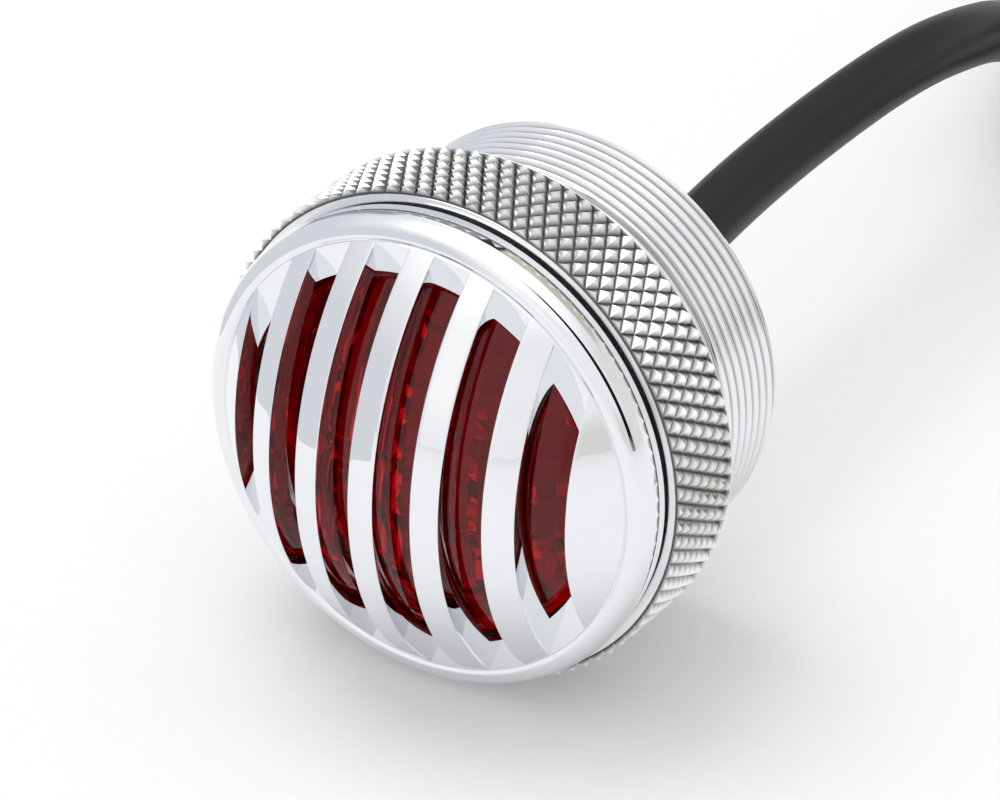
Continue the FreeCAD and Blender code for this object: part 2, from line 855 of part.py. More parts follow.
pieces = lamp_pieces + frame_pieces
for thing in doc.Objects:
    if {"Invalid", "Error"} & set(thing.State):
        raise RuntimeError(f"{thing.Label} did not build: {thing.State}")
os.makedirs("parts", exist_ok=True)
for piece in pieces:
    shape = piece.Shape
    if shape.isNull() or not shape.isValid() or not shape.Solids:
        raise RuntimeError(f"{piece.Label} has no valid shape")
    shape.exportStep(f"parts/{piece.Label}.step")
    box = shape.BoundBox
    print(
        f"{piece.Label:18s} solids {len(shape.Solids)} volume {shape.Volume:9.1f}"
        f" x {box.XMin:7.2f} {box.XMax:7.2f} y {box.YMin:7.2f} {box.YMax:7.2f}"
        f" z {box.ZMin:7.2f} {box.ZMax:7.2f}"
    )
print("nodes", len(pieces))
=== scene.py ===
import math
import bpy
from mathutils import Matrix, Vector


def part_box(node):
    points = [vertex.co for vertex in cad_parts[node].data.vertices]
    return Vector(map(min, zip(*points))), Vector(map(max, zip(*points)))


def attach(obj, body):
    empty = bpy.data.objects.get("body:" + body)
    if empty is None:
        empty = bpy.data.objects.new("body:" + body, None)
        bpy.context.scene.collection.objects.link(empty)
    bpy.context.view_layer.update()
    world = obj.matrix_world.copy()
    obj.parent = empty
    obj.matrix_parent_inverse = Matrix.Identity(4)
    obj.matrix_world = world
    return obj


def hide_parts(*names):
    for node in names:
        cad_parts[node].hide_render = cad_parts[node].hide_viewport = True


bl_info = {
    "name": "Finned round tail light",
    "version": (1, 0, 0),
    "blender": (4, 5, 0),
    "location": "3D View > Sidebar > Tail Light",
    "description": "Builds a round motorcycle tail light with a finned cap, a knurled collar and its lead",
    "category": "Add Mesh",
}

import bmesh
import bpy
from bpy.props import FloatProperty, FloatVectorProperty, IntProperty, PointerProperty
from mathutils import Matrix, Vector

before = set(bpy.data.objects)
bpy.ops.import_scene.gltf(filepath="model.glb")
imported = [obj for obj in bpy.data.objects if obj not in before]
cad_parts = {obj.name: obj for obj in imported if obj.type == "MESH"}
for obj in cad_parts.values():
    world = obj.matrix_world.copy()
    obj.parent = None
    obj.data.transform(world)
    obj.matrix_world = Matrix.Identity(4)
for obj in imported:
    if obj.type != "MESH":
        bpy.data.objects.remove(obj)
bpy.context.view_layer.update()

MM = 0.001
FULL_TURN = 2 * math.pi
SAME_PLACE = 1e-7  # vertices this close, in metres, are one
ON_AXIS = 1e-9  # a radius under this, in metres, is on the axis
MATH = "ShaderNodeMath"
MIX_A, MIX_B, MIX_RESULT = 6, 7, 2  # a Mix node's colour sockets, which share their names with others
HOUSING, WASHER, COLLAR = "housing", "washer", "collar"

# Places along the lamp axis and radii, read from the frame. The axis runs along Y.
CAP_LOW, CAP_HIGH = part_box("grille_cap")
BARREL_LOW, BARREL_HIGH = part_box("threaded_barrel")
COLLAR_LOW, COLLAR_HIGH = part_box("knurled_collar")
LENS_LOW, LENS_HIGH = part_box("tail_lens")
BOARD_LOW, BOARD_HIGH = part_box("led_board")
AXIS_Z = (COLLAR_LOW.z + COLLAR_HIGH.z) / 2
COLLAR_R = COLLAR_HIGH.x
THREAD_R = BARREL_HIGH.x
LENS_FLANGE_R = LENS_HIGH.x
CREASE_R = (CAP_HIGH.x - CAP_LOW.x) / 2
FLOOR_Y = CAP_LOW.y + 10.73 * MM

# The lead's route, in metres: from inside the barrel to the coil, then from the coil to its sleeve.
ROUTE = [
    (0.0, 0.014, 0.02592),
    (0.0, 0.034, 0.02592),
    (-0.0014, 0.056, 0.0266),
    (-0.0012, 0.084, 0.026),
    (-0.0025, 0.103, 0.021),
    (-0.008, 0.121, 0.0115),
    (-0.0123, 0.137, 0.0049),
    (-0.013, 0.15, 0.0033),
]
TAIL = [
    (0.053, 0.15, 0.0099),
    (0.0534, 0.134, 0.0102),
    (0.053, 0.118, 0.0054),
    (0.0526, 0.106, 0.004),
]
COIL_CENTRE = Vector((0.020, 0.150))
COIL_R = 0.033
CABLE_R = 0.0033
CORE_R = 0.75 * MM


def linear(hex_colour, alpha=1.0):
    """An sRGB hex colour as the linear colour that a shader takes."""
    parts = [int(hex_colour[i : i + 2], 16) / 255 for i in (1, 3, 5)]
    return [p / 12.92 if p <= 0.04045 else ((p + 0.055) / 1.055) ** 2.4 for p in parts] + [alpha]


def add_node(tree, kind, inputs=(), **settings):
    """Adds a node with its settings. Inputs are values, sockets or nodes, by name or in order."""
    node = tree.nodes.new(kind)
    for name, value in settings.items():
        setattr(node, name, value)
    for name, value in inputs.items() if isinstance(inputs, dict) else enumerate(inputs):
        if isinstance(value, bpy.types.Node):
            value = value.outputs[0]
        if isinstance(value, bpy.types.NodeSocket):
            tree.links.new(value, node.inputs[name])
        else:
            node.inputs[name].default_value = value
    return node


def new_material(name, values):
    """A material with only its output and one Principled shader, which has these values."""
    material = bpy.data.materials.new(name)
    material.use_nodes = True
    tree = material.node_tree
    tree.nodes.clear()
    shader = add_node(tree, "ShaderNodeBsdfPrincipled", values)
    add_node(tree, "ShaderNodeOutputMaterial", {"Surface": shader})
    return material, tree, shader


def link_mesh(name, vertices, faces, smooth=True):
    """An object in the scene with a mesh of these vertices and faces."""
    mesh = bpy.data.meshes.new(name)
    mesh.from_pydata([tuple(v) for v in vertices], [], [tuple(f) for f in faces])
    mesh.update()
    piece = bpy.data.objects.new(name, mesh)
    bpy.context.scene.collection.objects.link(piece)
    mesh.shade_smooth() if smooth else mesh.shade_flat()
    return piece


def finish_piece(piece, body, slot, *nodes, merge=True):
    """Closes a piece: outward normals, its material, the body it rides on and what it stands for."""
    bm = bmesh.new()
    bm.from_mesh(piece.data)
    if merge:
        bmesh.ops.remove_doubles(bm, verts=bm.verts, dist=SAME_PLACE)
    bmesh.ops.recalc_face_normals(bm, faces=bm.faces)
    bm.to_mesh(piece.data)
    bm.free()
    piece.data.materials.clear()
    piece.data.materials.append(MATERIALS[slot])
    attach(piece, body)
    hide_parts(*nodes)
    return piece


def turned(name, outline, steps=256, sharp_degrees=30.0, centre=(0.0, None)):
    """A closed ring or solid turned about the lamp axis. Its outline is (radius, y), in metres."""
    x0, z0 = centre[0], AXIS_Z if centre[1] is None else centre[1]
    vertices, faces, rings = [], [], []
    for radius, y in outline:
        if radius < ON_AXIS:
            rings.append([len(vertices)] * steps)
            vertices.append((x0, y, z0))
            continue
        rings.append(list(range(len(vertices), len(vertices) + steps)))
        for k in range(steps):
            a = FULL_TURN * k / steps
            vertices.append((x0 + radius * math.cos(a), y, z0 + radius * math.sin(a)))
    for i, ring in enumerate(rings):
        following = rings[(i + 1) % len(rings)]
        for k in range(steps):
            n = (k + 1) % steps
            corners = [ring[k], ring[n], following[n], following[k]]
            face = list(dict.fromkeys(corners))
            if len(face) > 2:
                faces.append(face)
    piece = link_mesh(name, vertices, faces)
    sharpen(piece, sharp_degrees)
    return piece


def sharpen(piece, degrees):
    """Smooth shading, with an edge left sharp where its faces meet at more than this angle."""
    piece.data.shade_smooth()
    piece.data.set_sharp_from_angle(angle=math.radians(degrees))


def rounded(outline, radius, segments=4):
    """An outline with each corner that turns by more than 20 degrees rounded."""
    made, count = [], len(outline)
    for i, point in enumerate(outline):
        corner = Vector(point)
        back, on = Vector(outline[i - 1]) - corner, Vector(outline[(i + 1) % count]) - corner
        if corner.x < ON_AXIS or back.length < ON_AXIS or on.length < ON_AXIS:
            made.append(tuple(corner))
            continue
        turn = math.pi - back.angle(on)
        if turn < math.radians(20):
            made.append(tuple(corner))
            continue
        reach = min(radius * math.tan(turn / 2), 0.45 * back.length, 0.45 * on.length)
        start, end = corner + back.normalized() * reach, corner + on.normalized() * reach
        for s in range(segments + 1):
            t = s / segments
            made.append(tuple((1 - t) ** 2 * start + 2 * t * (1 - t) * corner + t * t * end))
    return made


def joined(name, parts):
    """Several meshes made into one piece."""
    bm = bmesh.new()
    for part in parts:
        bm.from_mesh(part.data)
        mesh = part.data
        bpy.data.objects.remove(part)
        bpy.data.meshes.remove(mesh)
    mesh = bpy.data.meshes.new(name)
    bm.to_mesh(mesh)
    bm.free()
    piece = bpy.data.objects.new(name, mesh)
    bpy.context.scene.collection.objects.link(piece)
    return piece


def attach_tree(piece, tree, values):
    """Runs a Geometry Nodes tree on a piece and keeps the result as its plain mesh."""
    modifier = piece.modifiers.new(tree.name, "NODES")
    modifier.node_group = tree
    for socket in tree.interface.items_tree:
        if socket.item_type == "SOCKET" and socket.in_out == "INPUT" and socket.name in values:
            modifier[socket.identifier] = values[socket.name]
    bpy.context.view_layer.update()
    evaluated = piece.evaluated_get(bpy.context.evaluated_depsgraph_get())
    mesh = bpy.data.meshes.new_from_object(evaluated)
    piece.modifiers.clear()
    piece.data = mesh
    return piece


def new_tree(name, inputs):
    """A Geometry Nodes tree with these named inputs, and its input and output nodes."""
    tree = bpy.data.node_groups.new(name, "GeometryNodeTree")
    tree.interface.new_socket("Geometry", in_out="INPUT", socket_type="NodeSocketGeometry")
    tree.interface.new_socket("Geometry", in_out="OUTPUT", socket_type="NodeSocketGeometry")
    for label, kind in inputs:
        tree.interface.new_socket(label, in_out="INPUT", socket_type=f"NodeSocket{kind}")
    return tree, tree.nodes.new("NodeGroupInput"), tree.nodes.new("NodeGroupOutput")


def end_tree(tree, geometry, material, output):
    """Ends a tree in real geometry with its material set."""
    real = add_node(tree, "GeometryNodeRealizeInstances", [geometry])
    dressed = add_node(tree, "GeometryNodeSetMaterial", {"Geometry": real, "Material": material})
    tree.links.new(dressed.outputs[0], output.inputs[0])


def thread_tree():
    """Cuts a right-hand thread with rounded crests into a blank that is turned about Y."""
    names = ("Major Radius", "Depth", "Pitch", "Start", "End", "Axis Height")
    tree, given, output = new_tree("cut_thread", [(n, "Float") for n in names] + [("Material", "Material")])
    major, full_depth, pitch, start, end, axis_height = (given.outputs[n] for n in names)
    skin, run_in = 0.12 * MM, 0.4 * MM
    x, y, z = add_node(tree, "ShaderNodeSeparateXYZ", [add_node(tree, "GeometryNodeInputPosition")]).outputs
    height = add_node(tree, MATH, [z, axis_height], operation="SUBTRACT")
    squares = [add_node(tree, MATH, [v, v], operation="MULTIPLY") for v in (x, height)]
    radius = add_node(tree, MATH, [add_node(tree, MATH, squares, operation="ADD")], operation="SQRT")
    # Where each point is in its turn of the thread: 0 and 1 are roots, 0.5 is a crest.
    angle = add_node(tree, MATH, [height, x], operation="ARCTAN2")
    turns = add_node(tree, MATH, [angle, FULL_TURN], operation="DIVIDE")
    along = add_node(tree, MATH, [y, start], operation="SUBTRACT")
    pitches = add_node(tree, MATH, [along, pitch], operation="DIVIDE")
    phase = add_node(tree, MATH, [add_node(tree, MATH, [pitches, turns], operation="ADD")], operation="FRACT")
    phase_angle = add_node(tree, MATH, [phase, FULL_TURN], operation="MULTIPLY")
    wave = add_node(tree, MATH, [phase_angle], operation="COSINE")
    share = add_node(tree, MATH, [wave, 0.5, 0.5], operation="MULTIPLY_ADD")
    depth = add_node(tree, MATH, [full_depth, share], operation="MULTIPLY")
    # The cut runs in and out at the ends of the thread.
    to_end = add_node(tree, MATH, [end, y], operation="SUBTRACT")
    nearest = add_node(tree, MATH, [along, to_end], operation="MINIMUM")
    fade = add_node(tree, MATH, [nearest, run_in], operation="DIVIDE", use_clamp=True)
    faded = add_node(tree, MATH, [depth, fade], operation="MULTIPLY")
    cut = add_node(tree, MATH, [major, faded], operation="SUBTRACT")
    lower = add_node(tree, MATH, [radius, cut], operation="MINIMUM")
    scale = add_node(tree, MATH, [lower, radius], operation="DIVIDE")
    new_x = add_node(tree, MATH, [x, scale], operation="MULTIPLY")
    new_z = add_node(tree, MATH, [height, scale, axis_height], operation="MULTIPLY_ADD")
    moved = add_node(tree, "ShaderNodeCombineXYZ", [new_x, y, new_z])
    # Only the outer skin between the ends moves.
    skin_radius = add_node(tree, MATH, [major, skin], operation="SUBTRACT")
    outside = add_node(tree, MATH, [radius, skin_radius], operation="GREATER_THAN")
    between = add_node(tree, MATH, [nearest, 0.0], operation="GREATER_THAN")
    chosen = add_node(tree, MATH, [outside, between], operation="MULTIPLY")
    inputs = {"Geometry": given.outputs["Geometry"], "Selection": chosen, "Position": moved}
    shaped = add_node(tree, "GeometryNodeSetPosition", inputs)
    end_tree(tree, shaped, given.outputs["Material"], output)
    return tree


def knurl_tree():
    """Two families of pyramids laid on a flat lattice and wrapped round the collar."""
    names = ("Radius", "Depth", "Start", "Length", "Pitch", "Axis Height")
    others = [("Around", "Int"), ("Rows", "Int"), ("Point", "Object"), ("Material", "Material")]
    tree, given, output = new_tree("wrap_knurl", [(n, "Float") for n in names] + others)
    outer, depth, start, length, pitch, axis_height = (given.outputs[n] for n in names)
    around, rows = given.outputs["Around"], given.outputs["Rows"]
    # The flat lattice: one unit across is one pyramid round the collar, one unit up is one along it.
    across = add_node(tree, MATH, [around, 1.0], operation="SUBTRACT")
    up = add_node(tree, MATH, [rows, 1.0], operation="SUBTRACT")
    inputs = {"Size X": across, "Size Y": up, "Vertices X": around, "Vertices Y": rows}
    lattice = add_node(tree, "GeometryNodeMeshGrid", inputs)
    half_step = {"Geometry": lattice, "Translation": (0.5, 0.5, 0.0)}
    between = add_node(tree, "GeometryNodeTransform", half_step)
    both = add_node(tree, "GeometryNodeJoinGeometry")
    for part in (lattice, between):
        tree.links.new(part.outputs[0], both.inputs[0])
    # Rows that would lie wholly outside the knurl are left out.
    row = add_node(tree, "ShaderNodeSeparateXYZ", [add_node(tree, "GeometryNodeInputPosition")]).outputs["Y"]
    off_middle = add_node(tree, MATH, [row], operation="ABSOLUTE")
    reach = add_node(tree, MATH, [off_middle, pitch], operation="MULTIPLY")
    whole = add_node(tree, MATH, [length, pitch], operation="ADD")
    limit = add_node(tree, MATH, [whole, 0.49], operation="MULTIPLY")
    outside = add_node(tree, MATH, [reach, limit], operation="GREATER_THAN")
    kept = add_node(tree, "GeometryNodeDeleteGeometry", {"Geometry": both, "Selection": outside})
    point = add_node(tree, "GeometryNodeObjectInfo", {"Object": given.outputs["Point"]}).outputs["Geometry"]
    spread = add_node(tree, "GeometryNodeInstanceOnPoints", {"Points": kept, "Instance": point})
    real = add_node(tree, "GeometryNodeRealizeInstances", [spread])
    # Wrapped round the lamp axis, and trimmed at both ends of the knurl.
    x, y, z = add_node(tree, "ShaderNodeSeparateXYZ", [add_node(tree, "GeometryNodeInputPosition")]).outputs
    turns = add_node(tree, MATH, [x, around], operation="DIVIDE")
    angle = add_node(tree, MATH, [turns, FULL_TURN], operation="MULTIPLY")
    below_tip = add_node(tree, MATH, [1.0, z], operation="SUBTRACT")
    drop = add_node(tree, MATH, [depth, below_tip], operation="MULTIPLY")
    middle = add_node(tree, MATH, [length, 0.5, start], operation="MULTIPLY_ADD")
    along = add_node(tree, MATH, [y, pitch, middle], operation="MULTIPLY_ADD")
    finish = add_node(tree, MATH, [start, length], operation="ADD")
    from_start = add_node(tree, MATH, [along, start], operation="MAXIMUM")
    trimmed = add_node(tree, MATH, [from_start, finish], operation="MINIMUM")
    radius = add_node(tree, MATH, [outer, drop], operation="SUBTRACT")
    cosine = add_node(tree, MATH, [angle], operation="COSINE")
    sine = add_node(tree, MATH, [angle], operation="SINE")
    new_x = add_node(tree, MATH, [radius, cosine], operation="MULTIPLY")
    new_z = add_node(tree, MATH, [radius, sine, axis_height], operation="MULTIPLY_ADD")
    moved = add_node(tree, "ShaderNodeCombineXYZ", [new_x, trimmed, new_z])
    wrapped = add_node(tree, "GeometryNodeSetPosition", {"Geometry": real, "Position": moved})
    end_tree(tree, wrapped, given.outputs["Material"], output)
    return tree


def copies_tree():
    """Puts a copy of one object at every point of the geometry."""
    tree, given, output = new_tree("place_copies", [("Item", "Object"), ("Material", "Material")])
    item = add_node(tree, "GeometryNodeObjectInfo", {"Object": given.outputs["Item"]})
    inputs = {"Points": given.outputs["Geometry"], "Instance": item.outputs["Geometry"]}
    spread = add_node(tree, "GeometryNodeInstanceOnPoints", inputs)
    end_tree(tree, spread, given.outputs["Material"], output)
    return tree


def copies(name, item, places, material):
    """Copies of one object at places (x, y, z), as one plain mesh."""
    points = link_mesh(name, places, [])
    tree = bpy.data.node_groups.get("place_copies") or copies_tree()
    piece = attach_tree(points, tree, {"Item": item, "Material": material})
    bpy.data.objects.remove(item)
    return piece


def patterned(name, colours, grain_mm, roughness, relief=None, values=None):
    """A material whose colour, roughness and relief follow one noise of a real size on Object coordinates."""
    material, tree, shader = new_material(name, values or {})
    place = add_node(tree, "ShaderNodeTexCoord").outputs["Object"]
    inputs = {"Vector": place, "Scale": 1.0 / (grain_mm * MM), "Detail": 3.0}
    noise = add_node(tree, "ShaderNodeTexNoise", inputs).outputs["Fac"]
    low, high = roughness
    rough = add_node(tree, "ShaderNodeMapRange", {"Value": noise, "To Min": low, "To Max": high})
    tree.links.new(rough.outputs["Result"], shader.inputs["Roughness"])
    first, second = (linear(c) if isinstance(c, str) else tuple(c) for c in colours)
    mix = add_node(tree, "ShaderNodeMix", {0: noise, MIX_A: first, MIX_B: second}, data_type="RGBA")
    tree.links.new(mix.outputs[MIX_RESULT], shader.inputs["Base Color"])
    if relief:
        depth_mm, strength = relief
        inputs = {"Height": noise, "Distance": depth_mm * MM, "Strength": strength}
        bump = add_node(tree, "ShaderNodeBump", inputs)
        tree.links.new(bump.outputs["Normal"], shader.inputs["Normal"])
    return material


def mirror_chrome(name, first, second, roughness):
    """Polished plating: a mirror with a faint cool tone and the slight waves of buffing."""
    spread = (roughness * 0.7, roughness * 1.4)
    return patterned(name, (first, second), 3.5, spread, (0.0006, 0.5), {"Metallic": 1.0})


def moulded(name, first, second, roughness, grain_mm=0.25, depth_mm=0.012, gloss=0.5):
    """Moulded rubber or plastic: an even colour with a fine texture left by the mould."""
    spread = (roughness * 0.85, roughness * 1.15)
    values = {"Specular IOR Level": gloss}
    return patterned(name, (first, second), grain_mm, spread, (depth_mm, 0.6), values)


def metal(name, first, second, roughness):
    """Bare machined or plated metal, with light that breaks up along fine scratches."""
    spread = (roughness * 0.7, roughness * 1.3)
    return patterned(name, (first, second), 0.6, spread, (0.002, 0.4), {"Metallic": 1.0})


def solder_mask():
    """White solder mask over fibreglass, with copper tracks just under it."""
    track_size, gap = 2.2 * MM, 0.09
    material, tree, shader = new_material("solder_mask", {"Roughness": 0.35})
    place = add_node(tree, "ShaderNodeTexCoord").outputs["Object"]
    inputs = {"Vector": place, "Scale": 1.0 / track_size}
    tracks = add_node(tree, "ShaderNodeTexVoronoi", inputs, feature="DISTANCE_TO_EDGE")
    raised = add_node(tree, MATH, [tracks.outputs["Distance"], gap], operation="GREATER_THAN")
    tones = {0: raised, MIX_A: linear("#CFD3CC"), MIX_B: linear("#E9EBE6")}
    mix = add_node(tree, "ShaderNodeMix", tones, data_type="RGBA")
    tree.links.new(mix.outputs[MIX_RESULT], shader.inputs["Base Color"])
    bump = add_node(tree, "ShaderNodeBump", {"Height": raised, "Distance": 0.03 * MM, "Strength": 1.0})
    tree.links.new(bump.outputs["Normal"], shader.inputs["Normal"])
    return material


MATERIALS = {}


def paint_groove_shade(material, crest, deep, shallow, colour):
    """Paints shade into a finish where its radius is from deep to shallow under the crest's.

    This is painted shade, standing in for the shade that falls in the grooves, so they read as dark lines.
    Anything further in than the groove floor is another surface and gets no painted shade.
    """
    tree = material.node_tree
    shader = next(node for node in tree.nodes if node.type == "BSDF_PRINCIPLED")
    unshaded_colour = shader.inputs["Base Color"].links[0].from_socket
    place = add_node(tree, "ShaderNodeTexCoord").outputs["Object"]
    x, _, z = add_node(tree, "ShaderNodeSeparateXYZ", [place]).outputs
    height = add_node(tree, MATH, [z, AXIS_Z], operation="SUBTRACT")
    squares = [add_node(tree, MATH, [v, 2.0], operation="POWER") for v in (x, height)]
    radius = add_node(tree, MATH, [add_node(tree, MATH, squares, operation="ADD")], operation="SQRT")
    floor = crest - deep
    limits = {"Value": radius, "From Min": floor, "From Max": crest - shallow}
    flank = add_node(tree, "ShaderNodeMapRange", limits)
    limits = {"Value": radius, "From Min": floor - 0.16 * MM, "From Max": floor - 0.1 * MM}
    inside = add_node(tree, "ShaderNodeMapRange", {**limits, "To Min": 1.0, "To Max": 0.0})
    share = add_node(tree, MATH, [flank, inside], operation="MAXIMUM")
    tones = {0: share, MIX_A: linear(colour), MIX_B: unshaded_colour}
    mix = add_node(tree, "ShaderNodeMix", tones, data_type="RGBA")
    tree.links.new(mix.outputs[MIX_RESULT], shader.inputs["Base Color"])


def make_materials(tones):
    """Every finish of the lamp, under the name of its slot."""
    acrylic = {"Transmission Weight": 0.93, "IOR": 1.42, "Specular IOR Level": 0.02}
    vinyl = {"Transmission Weight": 0.55, "IOR": 1.53}
    black = "#0E0E0F"
    MATERIALS.update(
        # Buffed nickel-chrome on brass: a clean mirror, so its shape shows by what it reflects.
        chrome_plate=mirror_chrome("polished_chrome", tones.chrome, tones.chrome_tint, 0.02),
        # The same plate over a cut thread: a slightly softer mirror in fine bright rings.
        chrome_barrel=mirror_chrome("threaded_chrome", tones.chrome, tones.chrome_tint, 0.05),
        # Plate over a rolled knurl: blurred, so each small facet has one tone.
        chrome_knurl=mirror_chrome("knurled_chrome", tones.chrome, "#F2F2F2", 0.16),
        # Die-cut rubber: a dull black line.
        washer_rubber=moulded("washer_rubber", "#0B0B0C", "#131314", 0.6),
        # Acrylic dyed deep red: near black where little light returns and bright red where it does.
        red_lens=patterned("dyed_acrylic", ("#EE0C16", "#B8060D"), 6.0, (0.0, 0.03), None, acrylic),
        # Moulded rubber: dull black.
        gasket_rubber=moulded("gasket_rubber", "#0C0C0C", "#141414", 0.65),
        # Aluminium evaporated on plastic: bright, a little hazy facets behind the lens.
        metallised_plastic=mirror_chrome("metallised_plastic", "#D8D8DA", "#E6E6E6", 0.08),
        # White lacquer over copper: a bright floor behind the lens with faint raised tracks.
        solder_mask=solder_mask(),
        # Bright zinc plate: grey metal with a soft shine.
        zinc_screw=metal("zinc_plate", "#AEB2B5", "#8E9397", 0.3),
        # White moulded package filled with yellow phosphor: pale cream to yellow.
        led_package=patterned("phosphor_package", ("#F2EBCF", "#E3C25A"), 0.3, (0.25, 0.4)),
        # Glazed ceramic: small black blocks with a soft gloss.
        resistor_ceramic=moulded("resistor_glaze", "#101214", "#1B1E21", 0.35),
        # Filled epoxy, moulded: a matt black block.
        moulded_epoxy=moulded("moulded_epoxy", "#0D0D0E", "#17181A", 0.5),
        # Soft moulded rubber: black with a broad, weak sheen.
        boot_rubber=moulded("boot_rubber", tones.jacket, "#1B1B1C", 0.5),
        # Crimped brass: warm metal, lightly scratched.
        crimp_brass=metal("crimped_brass", "#C9A050", "#B08A42", 0.25),
        # Extruded PVC on the cores: even colours with a soft gloss.
        red_insulation=moulded("red_insulation", "#A80E14", "#8E0A10", 0.35),
        yellow_insulation=moulded("yellow_insulation", "#E5B813", "#CFA20F", 0.35),
        black_insulation=moulded("black_insulation", black, "#171718", 0.35),
        # Extruded PVC jacket: satin black, its grain drawn coarser than the real one so that it shows.
        cable_jacket=moulded("satin_jacket", tones.jacket, "#171415", 0.42, 0.4, 0.008, 0.28),
        # Moulded nylon: black and a little glossier than the jacket.
        tie_nylon=moulded("black_nylon", "#0C0C0D", "#151516", 0.42),
        # Shrunk polyolefin: black with a low sheen.
        heat_shrink=moulded("heat_shrink", "#0D0D0E", "#161617", 0.45),
        # Soft clear vinyl: milky, so the brass shows only faintly through it.
        clear_vinyl=patterned("soft_vinyl", ("#E8E8E4", "#D8D8D2"), 0.8, (0.15, 0.3), None, vinyl),
        # Plain drawn brass: a warm, fairly sharp shine.
        terminal_brass=metal("drawn_brass", "#D3B06A", "#BE9850", 0.22),
    )
    # Painted shade: the thread's and the knurl's grooves are darkened towards their floors, standing in for
    # the shade that falls in them.
    paint_groove_shade(MATERIALS["chrome_barrel"], THREAD_R, 0.62 * MM, 0.26 * MM, "#5E5D5C")
    paint_groove_shade(MATERIALS["chrome_knurl"], COLLAR_R, 0.62 * MM, 0.18 * MM, "#5A5855")


def dome_height_at(x, z, sizes, depth=0.0):
    """Y of the dome, or of a surface that far behind it along the axis, above the point (x, z)."""
    rise, reach = sizes.dome_height, sizes.dome_radius
    sphere = (reach * reach + rise * rise) / (2 * rise)
    inside = max(sphere * sphere - x * x - z * z, 0.0)
    return FLOOR_Y + depth + (sphere - rise) - math.sqrt(inside)


def make_fin(name, left, right, sizes, window, rows=132, across=8):
    """One fin between two slot walls, from end to end of the dome, with tiny bright edges."""
    edge, sink = sizes.fin_edge, 0.2 * MM
    reach = sizes.dome_radius
    left_wall, right_wall = left > -reach, right < reach
    left, right = max(left, -reach), min(right, reach)
    steps = [math.radians(90 * s / 4) for s in range(5)]
    profile = []  # (x, kind, how far below the dome)
    if left_wall:
        profile.append((left, "floor", 0.0))
        profile += [(left + edge * (1 - math.cos(a)), "dome", edge * (1 - math.sin(a))) for a in steps]
    start = left + (edge if left_wall else 0.0)
    finish = right - (edge if right_wall else 0.0)
    first = 1 if left_wall else 0
    last = across - 1 if right_wall else across
    profile += [(start + (finish - start) * k / across, "dome", 0.0) for k in range(first, last + 1)]
    if right_wall:
        profile += [
            (right - edge * (1 - math.cos(a)), "dome", edge * (1 - math.sin(a))) for a in reversed(steps)
        ]
        profile.append((right, "floor", 0.0))
    floor_steps = range(1 if right_wall else 0, 5 if left_wall else 6)
    profile += [(right + (left - right) * k / 5, "floor", 0.0) for k in floor_steps]
    vertices, faces = [], []
    for row in range(rows + 1):
        share = math.sin(math.pi / 2 * (2 * row / rows - 1))
        for x, kind, below in profile:
            z = share * math.sqrt(max(reach * reach - x * x, 0.0))
            radius = math.hypot(x, z)
            top = dome_height_at(x, z, sizes)
            bottom = dome_height_at(x, z, sizes, sizes.fin_depth) if radius < window else FLOOR_Y + sink
            y = min(top + below, bottom) if kind == "dome" else bottom
            vertices.append((x, y, AXIS_Z + z))
    count = len(profile)
    for row in range(rows):
        for k in range(count):
            n = (k + 1) % count
            a, b = row * count, (row + 1) * count
            faces.append((a + k, a + n, b + n, b + k))
    faces.append(tuple(range(count)))
    faces.append(tuple(rows * count + k for k in reversed(range(count))))
    return link_mesh(name, vertices, faces)


def make_cap(sizes):
    """One-piece cap: window ring, rounded rim, tapered band, five fins and two end segments."""
    window = sizes.window_radius
    bore = THREAD_R + 0.00005
    groove = sizes.groove
    outline = [
        (window, FLOOR_Y),
        (sizes.dome_radius, FLOOR_Y),
        (sizes.dome_radius + 0.35 * groove, FLOOR_Y + 0.5 * groove),
        (sizes.dome_radius + 0.9 * groove, FLOOR_Y + 0.45 * groove),
        (sizes.dome_radius + 1.6 * groove, FLOOR_Y + 0.05 * groove),
    ]
    flat_end, drop = sizes.dome_radius + sizes.rim_flat, sizes.crease_depth
    arc = []
    for s in range(25):
        t = s / 24
        radius = flat_end * (1 - t) ** 2 + 2 * t * (1 - t) * (CREASE_R - sizes.crease_lip) + CREASE_R * t**2
        arc.append((radius, FLOOR_Y + drop * t**2))
    rear = [
        (CREASE_R - sizes.band_taper, CAP_HIGH.y),
        (bore, CAP_HIGH.y),
        (bore, FLOOR_Y + sizes.plate),
        (window, FLOOR_Y + sizes.plate),
    ]
    closed = [*outline, *arc, *rounded_tail(rear, arc[-1], outline[0], 0.18 * MM)]
    ring = turned("cap_ring", closed, 512, 25)
    walls = [sizes.slot_pitch * (k - 2.5) for k in range(6)]
    half = sizes.slot_width / 2
    edges = [-1.0] + [v for w in walls for v in (w - half, w + half)] + [1.0]
    fins = [make_fin(f"fin_{i}", edges[2 * i], edges[2 * i + 1], sizes, window) for i in range(7)]
    piece = joined("grille_cap_chrome", [ring, *fins])
    finish_piece(piece, HOUSING, "chrome_plate", "grille_cap")
    sharpen(piece, 28)


def rounded_tail(points, before, after, radius):
    """Rounds the corners of an open run of points between two fixed neighbours."""
    full = rounded([before, *points, after], radius)
    return [p for p in full if Vector(p) not in (Vector(before), Vector(after))]



